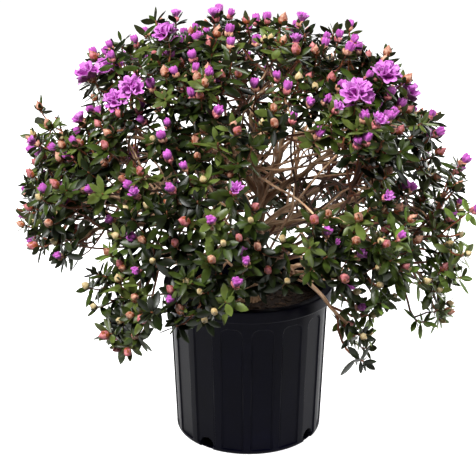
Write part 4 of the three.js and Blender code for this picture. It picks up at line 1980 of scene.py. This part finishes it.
    def faces(self) -> Tuple[Array, Array, Array, Array]:
        """Faces of one leaf: point 0 is its root, then six points to a station, then its tip.

        Returns:
            Quads, triangles, and the dress of each: 0 above, 1 below.
        """
        rows = len(self.stations)
        tip = 1 + 6 * rows
        start = 1 + 6 * np.arange(rows - 1)
        corners = np.array([0, 6, 7, 1])
        upper = [start[:, None] + column + corners for column in range(4)]
        under_left = start[:, None] + np.array([0, 5, 11, 6])
        under_right = start[:, None] + np.array([5, 4, 10, 11])
        quads = np.concatenate(upper + [under_left, under_right])
        quad_dress = np.repeat([0, 1], [4 * (rows - 1), 2 * (rows - 1)])
        last = tip - 6
        root_fan = [[0, 1 + c, 2 + c] for c in range(4)]
        tip_fan = [[last + c, tip, last + c + 1] for c in range(4)]
        under_fan = [[0, 6, 1], [0, 5, 6], [last, last + 5, tip], [last + 5, last + 4, tip]]
        triangles = np.array(root_fan + tip_fan + under_fan)
        triangle_dress = np.repeat([0, 1], [8, 4])
        return quads, triangles, quad_dress, triangle_dress

    def tones(self, growth: Growth) -> Array:
        """Each shoot's green: fresh low on the right, and darker low over the pot, painted shade under
        the crown.

        Args:
            growth: The shoots.

        Returns:
            The green's place in LeafTone, for each shoot.
        """
        rng = np.random.default_rng(self.seed + 1)
        spots = growth.spots
        low = onset(spots[:, 2], *self.low)
        right = onset(spots[:, 0], *self.right)
        high = onset(spots[:, 2], *self.high)
        over_pot = low * onset(np.abs(spots[:, 0]), *self.over_pot)
        lightness = rng.uniform(0.0, 1.0, len(spots))
        lightness = lightness + low * (self.lighter_low + self.lighter_right * right)
        # Painted shade: leaves low over the pot take darker greens, for the shadow under the crown.
        lightness = lightness + self.lighter_high * high - self.deeper_over_pot * over_pot
        return np.digitize(lightness, self.tone_steps)

    def build(self, shop: PieceShop, growth: Growth) -> None:
        """Makes one piece of leaves for each green.

        Args:
            shop: The maker of the pieces.
            growth: The shoots.
        """
        stand, shoot = self.stand(growth)
        tones = self.tones(growth)[shoot]
        for number, tone in enumerate(LeafTone):
            surface = self.surface(stand.picked(tones == number))
            name = f"leaves_{tone.name.lower()}"
            finishes = [tone.value, LEAF_UNDERSIDE_PAINTED_SHADE]
            shop.make(name, surface, finishes, mass_nodes(), self.sharp_angle)
        log.info("%d leaves", len(shoot))


@dataclass(frozen=True)
class BudShape:
    """A kind of bud, whose scales stand out by a share of its radius.

    A fullness below 1 makes it widest low down, and pointed is how fast its outline's power climbs
    towards the tip. On a marked bud single scales above the foot take the second finish too.
    """

    radius: float
    length: float
    scales: float
    fullness: float
    pointed: float = 0.0
    marked: bool = False


@dataclass(frozen=True)
class FloretShape:
    """A kind of floret: radius at the lobes' tips, and length of the cup."""

    radius: float
    length: float


@dataclass(frozen=True)
class Truss:
    """Flowers that share a tip: their number, their dome's half angle, and their start on its axis."""

    count: int
    cone: float
    start: float = 0.0


@dataclass
class Blossom:
    """Buds at every stage, and the open trusses.

    open_spots and opening_spots are pixels of the picture. stage_shares are the shares of shoots with no
    bud and with tight, swelling and cracking ones, low down and high up; the rest are opening.
    """

    open_spots: Tuple[Span, ...] = (
        (84, 87), (103, 103), (113, 80), (134, 93),
        (171, 47), (366, 95), (385, 86), (402, 98),
    )
    opening_spots: Tuple[Span, ...] = (
        (82, 113), (175, 15), (205, 22), (235, 95), (337, 120),
        (380, 132), (10, 160), (300, 12), (142, 204), (225, 206),
    )
    search: float = 16.0
    apart_cost: float = 6.0
    far_cost: float = 900.0
    taken_cost: float = 10000.0
    none_open_below: float = 250.0
    behind: float = 60.0
    open_behind: float = 0.965
    high: Span = (260.0, 330.0)
    stage_shares: Tuple[Span, ...] = ((0.26, 0.24), (0.3, 0.08), (0.32, 0.28), (0.11, 0.38))
    bud_sizes: Span = (0.85, 1.15)
    open_sizes: Span = (0.8, 1.12)
    tight_bud: BudShape = BudShape(5.0, 13.0, scales=0.3, fullness=0.8, pointed=0.7)
    swelling_bud: BudShape = BudShape(6.2, 18.5, scales=0.34, fullness=0.78, pointed=0.9, marked=True)
    split_scale: BudShape = BudShape(3.4, 10.5, scales=0.2, fullness=0.9)
    petal_bud: BudShape = BudShape(3.5, 16.5, scales=0.16, fullness=1.2)
    half_open: FloretShape = FloretShape(radius=6.8, length=19.0)
    wide_open: FloretShape = FloretShape(radius=13.2, length=23.0)
    split_truss: Truss = Truss(count=6, cone=44.0)
    cracking_truss: Truss = Truss(count=7, cone=23.0, start=3.5)
    opening_truss: Truss = Truss(count=4, cone=25.0, start=4.0)
    open_truss: Truss = Truss(count=8, cone=58.0, start=5.0)
    bud_columns: int = 8
    bud_stations: Tuple[float, ...] = (0.08, 0.28, 0.5, 0.72, 0.9)
    bud_power: float = 0.75
    point_from: float = 0.28
    scale_rows: float = 4.0
    scale_turns: float = 2.0
    floret_columns: int = 20
    floret_stations: Tuple[float, ...] = (0.3, 0.68, 1.0, 0.99, 0.66, 0.34)
    floret_inward: Tuple[float, ...] = (0.0, 0.0, 0.0, 0.03, 0.05, 0.05)
    lobes: int = 5
    notch: float = 0.36
    tube_share: float = 0.34
    flare_power: float = 1.3
    rim_turn: float = 0.14
    frills: float = 10.0
    frill_shift: float = 3.0
    frill: float = 0.04
    throat: float = 0.2
    fan_start: float = 0.15
    seed: int = 61

    def stages(self, growth: Growth, studio: Studio) -> Array:
        """How far each shoot's bud has come, as the value of its BudStage.

        Open and opening trusses stand on the foremost shoots at their places in the picture, and
        here and there on the back; the other buds are more forward the higher they are.

        Args:
            growth: The shoots.
            studio: The camera that the places in the picture belong to.

        Returns:
            One number for each shoot.
        """
        rng = np.random.default_rng(self.seed)
        spots = growth.spots
        count = len(spots)
        high = onset(spots[:, 2], *self.high)
        pick = rng.uniform(0.0, 1.0, count)
        limits = np.cumsum([blend(*shares, high) for shares in self.stage_shares], axis=0)
        lowest = spots[:, 2] < self.none_open_below
        pick = np.where(lowest, pick * limits[BudStage.SWELLING.value], pick)
        stages = np.sum(pick > limits, axis=0)
        behind = spots[:, 1] > self.behind
        stages[behind & (pick > self.open_behind)] = BudStage.OPEN.value
        pixels, depth = studio.project(spots)
        taken = np.zeros(count)
        wanted = [(place, BudStage.OPEN) for place in self.open_spots]
        wanted += [(place, BudStage.OPENING) for place in self.opening_spots]
        for place, stage in wanted:
            apart = np.hypot(pixels[:, 0] - place[0], pixels[:, 1] - place[1])
            far = np.where(apart < self.search, 0.0, self.far_cost)
            chosen = int(np.argmin(apart * self.apart_cost + far + depth + taken))
            stages[chosen] = stage.value
            taken[chosen] = self.taken_cost
        return stages

    def ovoids(self, foot: Array, axis: Array, size: Array, shape: BudShape) -> Surface:
        """Buds: an egg-shaped outline turned about each axis, with scales in a spiral.

        At share v of the length the radius is sin(pi v^fullness) to a power, which climbs with v on a
        pointed bud; the scales swell it by a saw-tooth that climbs with v and winds round the bud.

        Args:
            foot: Where the buds stand, shape (N, 3).
            axis: The way they point, shape (N, 3).
            size: Factors on the shape's radius and length, shape (N,).
            shape: The kind of bud.

        Returns:
            The joined surface; its foot takes the second finish.
        """
        radius = shape.radius * size
        length = shape.length * size
        columns = self.bud_columns
        v = np.array(self.bud_stations)
        turn = evenly_turned(columns)
        power = self.bud_power + shape.pointed * (v - self.point_from)
        outline = np.sin(math.pi * v**shape.fullness) ** power
        climb = (v[:, None] * self.scale_rows + turn[None, :] * self.scale_turns / FULL_TURN) % 1.0
        reach = outline[:, None] * (1.0 + shape.scales * (climb - 0.5))
        first, second = axes_across(axis)
        round_axis = turned(first[:, None], second[:, None], turn)
        rise = axis[:, None] * (length[:, None] * v)[..., None]
        rings = foot[:, None, None] + rise[:, :, None]
        rings = rings + round_axis[:, None] * (radius[:, None, None] * reach)[..., None]
        surface = ringed(rings, foot, foot + axis * length[:, None])
        bands = np.zeros((len(v) - 1, columns), dtype=np.int32)
        bands[0] = 1
        if shape.marked:
            bands[1, ::2] = 1
            bands[2, 1::4] = 1
        surface.quad_dress = np.tile(bands.ravel(), len(foot))
        surface.triangle_dress = np.tile(np.repeat([1, 0], columns), len(foot))
        return surface

    def florets(
        self, foot: Array, axis: Array, size: Array, shape: FloretShape, phase: Array
    ) -> Surface:
        """Open florets: a thin closed cup with five rounded, frilled lobes.

        At share v along the cup the radius is a share of sqrt(v) and the rest of v^flare_power, and the
        rim turns back a little; notches part the lobes at the rim, and waves frill it. The rings run up
        the outside to the rim and back down the inside, a little inwards, to the throat.

        Args:
            foot: The cups' closed ends, shape (N, 3).
            axis: The way they open, shape (N, 3).
            size: Factors on the shape's radius and length, shape (N,).
            shape: The kind of floret.
            phase: Turn of the lobes about the axis, shape (N,).

        Returns:
            The joined surface; the throat and the cup's foot take the second finish, painted shade in
            the cup's hollow.
        """
        radius = shape.radius * size
        length = shape.length * size
        columns = self.floret_columns
        v = np.array(self.floret_stations)
        inward = np.array(self.floret_inward)[:, None]
        turn = evenly_turned(columns)
        notch = np.sin(self.lobes / 2.0 * turn) ** 4
        reach = v[:, None] * (1.0 - self.notch * notch[None, :] * v[:, None] ** 3)
        flare = (1.0 - self.tube_share) * reach**self.flare_power
        opened = self.tube_share * np.sqrt(reach) + flare - inward
        risen = reach - self.rim_turn * reach**4 + inward
        wave = self.frills * turn[None, None, :] + self.frill_shift * phase[:, None, None]
        frill = np.sin(wave) * (v**3)[None, :, None]
        first, second = axes_across(axis)
        round_axis = turned(first[:, None], second[:, None], turn[None, :] + phase[:, None])
        height = length[:, None, None] * (risen[None] + self.frill * frill)
        wide = radius[:, None, None] * (opened[None] + self.frill * frill)
        rings = foot[:, None, None] + axis[:, None, None] * height[..., None]
        rings = rings + round_axis[:, None] * wide[..., None]
        throat = foot + axis * (self.throat * length)[:, None]
        surface = ringed(rings, foot, throat)
        # Painted shade: the inside of the throat and the outside of the cup's foot take the deeper
        # second finish.
        bands = np.repeat([1, 0, 1], [columns, (len(v) - 3) * columns, columns])
        surface.quad_dress = np.tile(bands, len(foot))
        surface.triangle_dress = np.ones(len(surface.triangles), dtype=np.int32)
        return surface

    def trussed(
        self, growth: Growth, chosen: Array, truss: Truss, rng: Random
    ) -> Tuple[Array, Array, Array]:
        """Stands flowers in a dome at the tip of each chosen shoot.

        Flower i of n lies about sqrt(i / n) of the cone's angle off the shoot's axis, i golden angles
        round it.

        Args:
            growth: The shoots.
            chosen: Numbers of the shoots that carry a truss, shape (N,).
            truss: How the flowers stand.
            rng: Source of the domes' turns.

        Returns:
            Feet and directions of the flowers, shape (N * count, 3), and the number of each one's shoot.
        """
        axis = growth.facing[chosen]
        number = np.arange(truss.count)
        tilt = np.radians(truss.cone) * np.sqrt((number + self.fan_start) / truss.count)
        turn = number * GOLDEN_TURN + rng.uniform(0.0, FULL_TURN, (len(axis), 1))
        first, second = axes_across(axis)
        aside = turned(first[:, None], second[:, None], turn)
        ways = unit(turned(axis[:, None], aside, tilt[None, :])).reshape(-1, 3)
        shoot = np.repeat(chosen, truss.count)
        return growth.spots[shoot] + growth.facing[shoot] * truss.start, ways, shoot

    def build(self, shop: PieceShop, growth: Growth, studio: Studio) -> None:
        """Makes the buds and trusses, a piece for each colour.

        Args:
            shop: The maker of the pieces.
            growth: The shoots.
            studio: The camera that the places in the picture belong to.
        """
        rng = np.random.default_rng(self.seed + 1)
        stages = self.stages(growth, studio)
        size = rng.uniform(*self.bud_sizes, len(stages))
        at = {stage: np.flatnonzero(stages == stage.value) for stage in BudStage}
        forward = np.flatnonzero(stages >= BudStage.CRACKING.value)
        scaly: Dict[BudTone, List[Surface]] = {tone: [] for tone in BudTone}
        petals: Dict[PetalTone, List[Surface]] = {tone: [] for tone in PetalTone}

        kinds = [(BudTone.CREAM, at[BudStage.TIGHT], self.tight_bud)]
        for number, tone in enumerate((BudTone.PEACH, BudTone.ROSE)):
            kinds.append((tone, at[BudStage.SWELLING][number::2], self.swelling_bud))
        for tone, chosen, shape in kinds:
            buds = self.ovoids(growth.spots[chosen], growth.facing[chosen], size[chosen], shape)
            scaly[tone].append(buds)
        for number, tone in enumerate((BudTone.PEACH, BudTone.ROSE)):
            feet, ways, shoot = self.trussed(growth, forward[number::2], self.split_truss, rng)
            scaly[tone].append(self.ovoids(feet, ways, size[shoot], self.split_scale))

        feet, ways, shoot = self.trussed(growth, at[BudStage.CRACKING], self.cracking_truss, rng)
        petals[PetalTone.VIOLET].append(self.ovoids(feet, ways, size[shoot], self.petal_bud))

        feet, ways, shoot = self.trussed(growth, at[BudStage.OPENING], self.opening_truss, rng)
        phase = rng.uniform(0.0, FULL_TURN, len(ways))
        petals[PetalTone.LILAC].append(self.florets(feet, ways, size[shoot], self.half_open, phase))

        feet, ways, shoot = self.trussed(growth, at[BudStage.OPEN], self.open_truss, rng)
        scale = size[shoot] * rng.uniform(*self.open_sizes, len(shoot))
        phase = rng.uniform(0.0, FULL_TURN, len(ways))
        petals[PetalTone.LILAC].append(self.florets(feet, ways, scale, self.wide_open, phase))

        # Painted shade: the lilac florets' throats and feet take the deeper violet.
        throat = PetalTone.VIOLET.value
        pieces = [("buds", tone, BUD_SCALE, parts) for tone, parts in scaly.items()]
        pieces += [("petals", tone, throat, parts) for tone, parts in petals.items()]
        for kind, tone, second, parts in pieces:
            name = f"{kind}_{tone.name.lower()}"
            shop.make(name, Surface.joined(parts), [tone.value, second], mass_nodes())
        log.info("buds: %s", {stage.name: len(shoots) for stage, shoots in at.items()})


def main() -> None:
    """Builds pot, mix, limbs, twigs, leaves and blossom in order, then the studio round them."""
    logging.basicConfig(level=logging.INFO, format="%(message)s")
    shop = PieceShop()
    studio = Studio()
    limbs = Limbs()
    Pot().build(shop)
    PottingMix().build(shop)
    limbs.build(shop)
    growth = Crown().grow(limbs)
    Twigs().build(shop, limbs, growth)
    Leaves().build(shop, growth)
    Blossom().build(shop, growth, studio)
    studio.build()


if __name__ == "__main__":
    main()
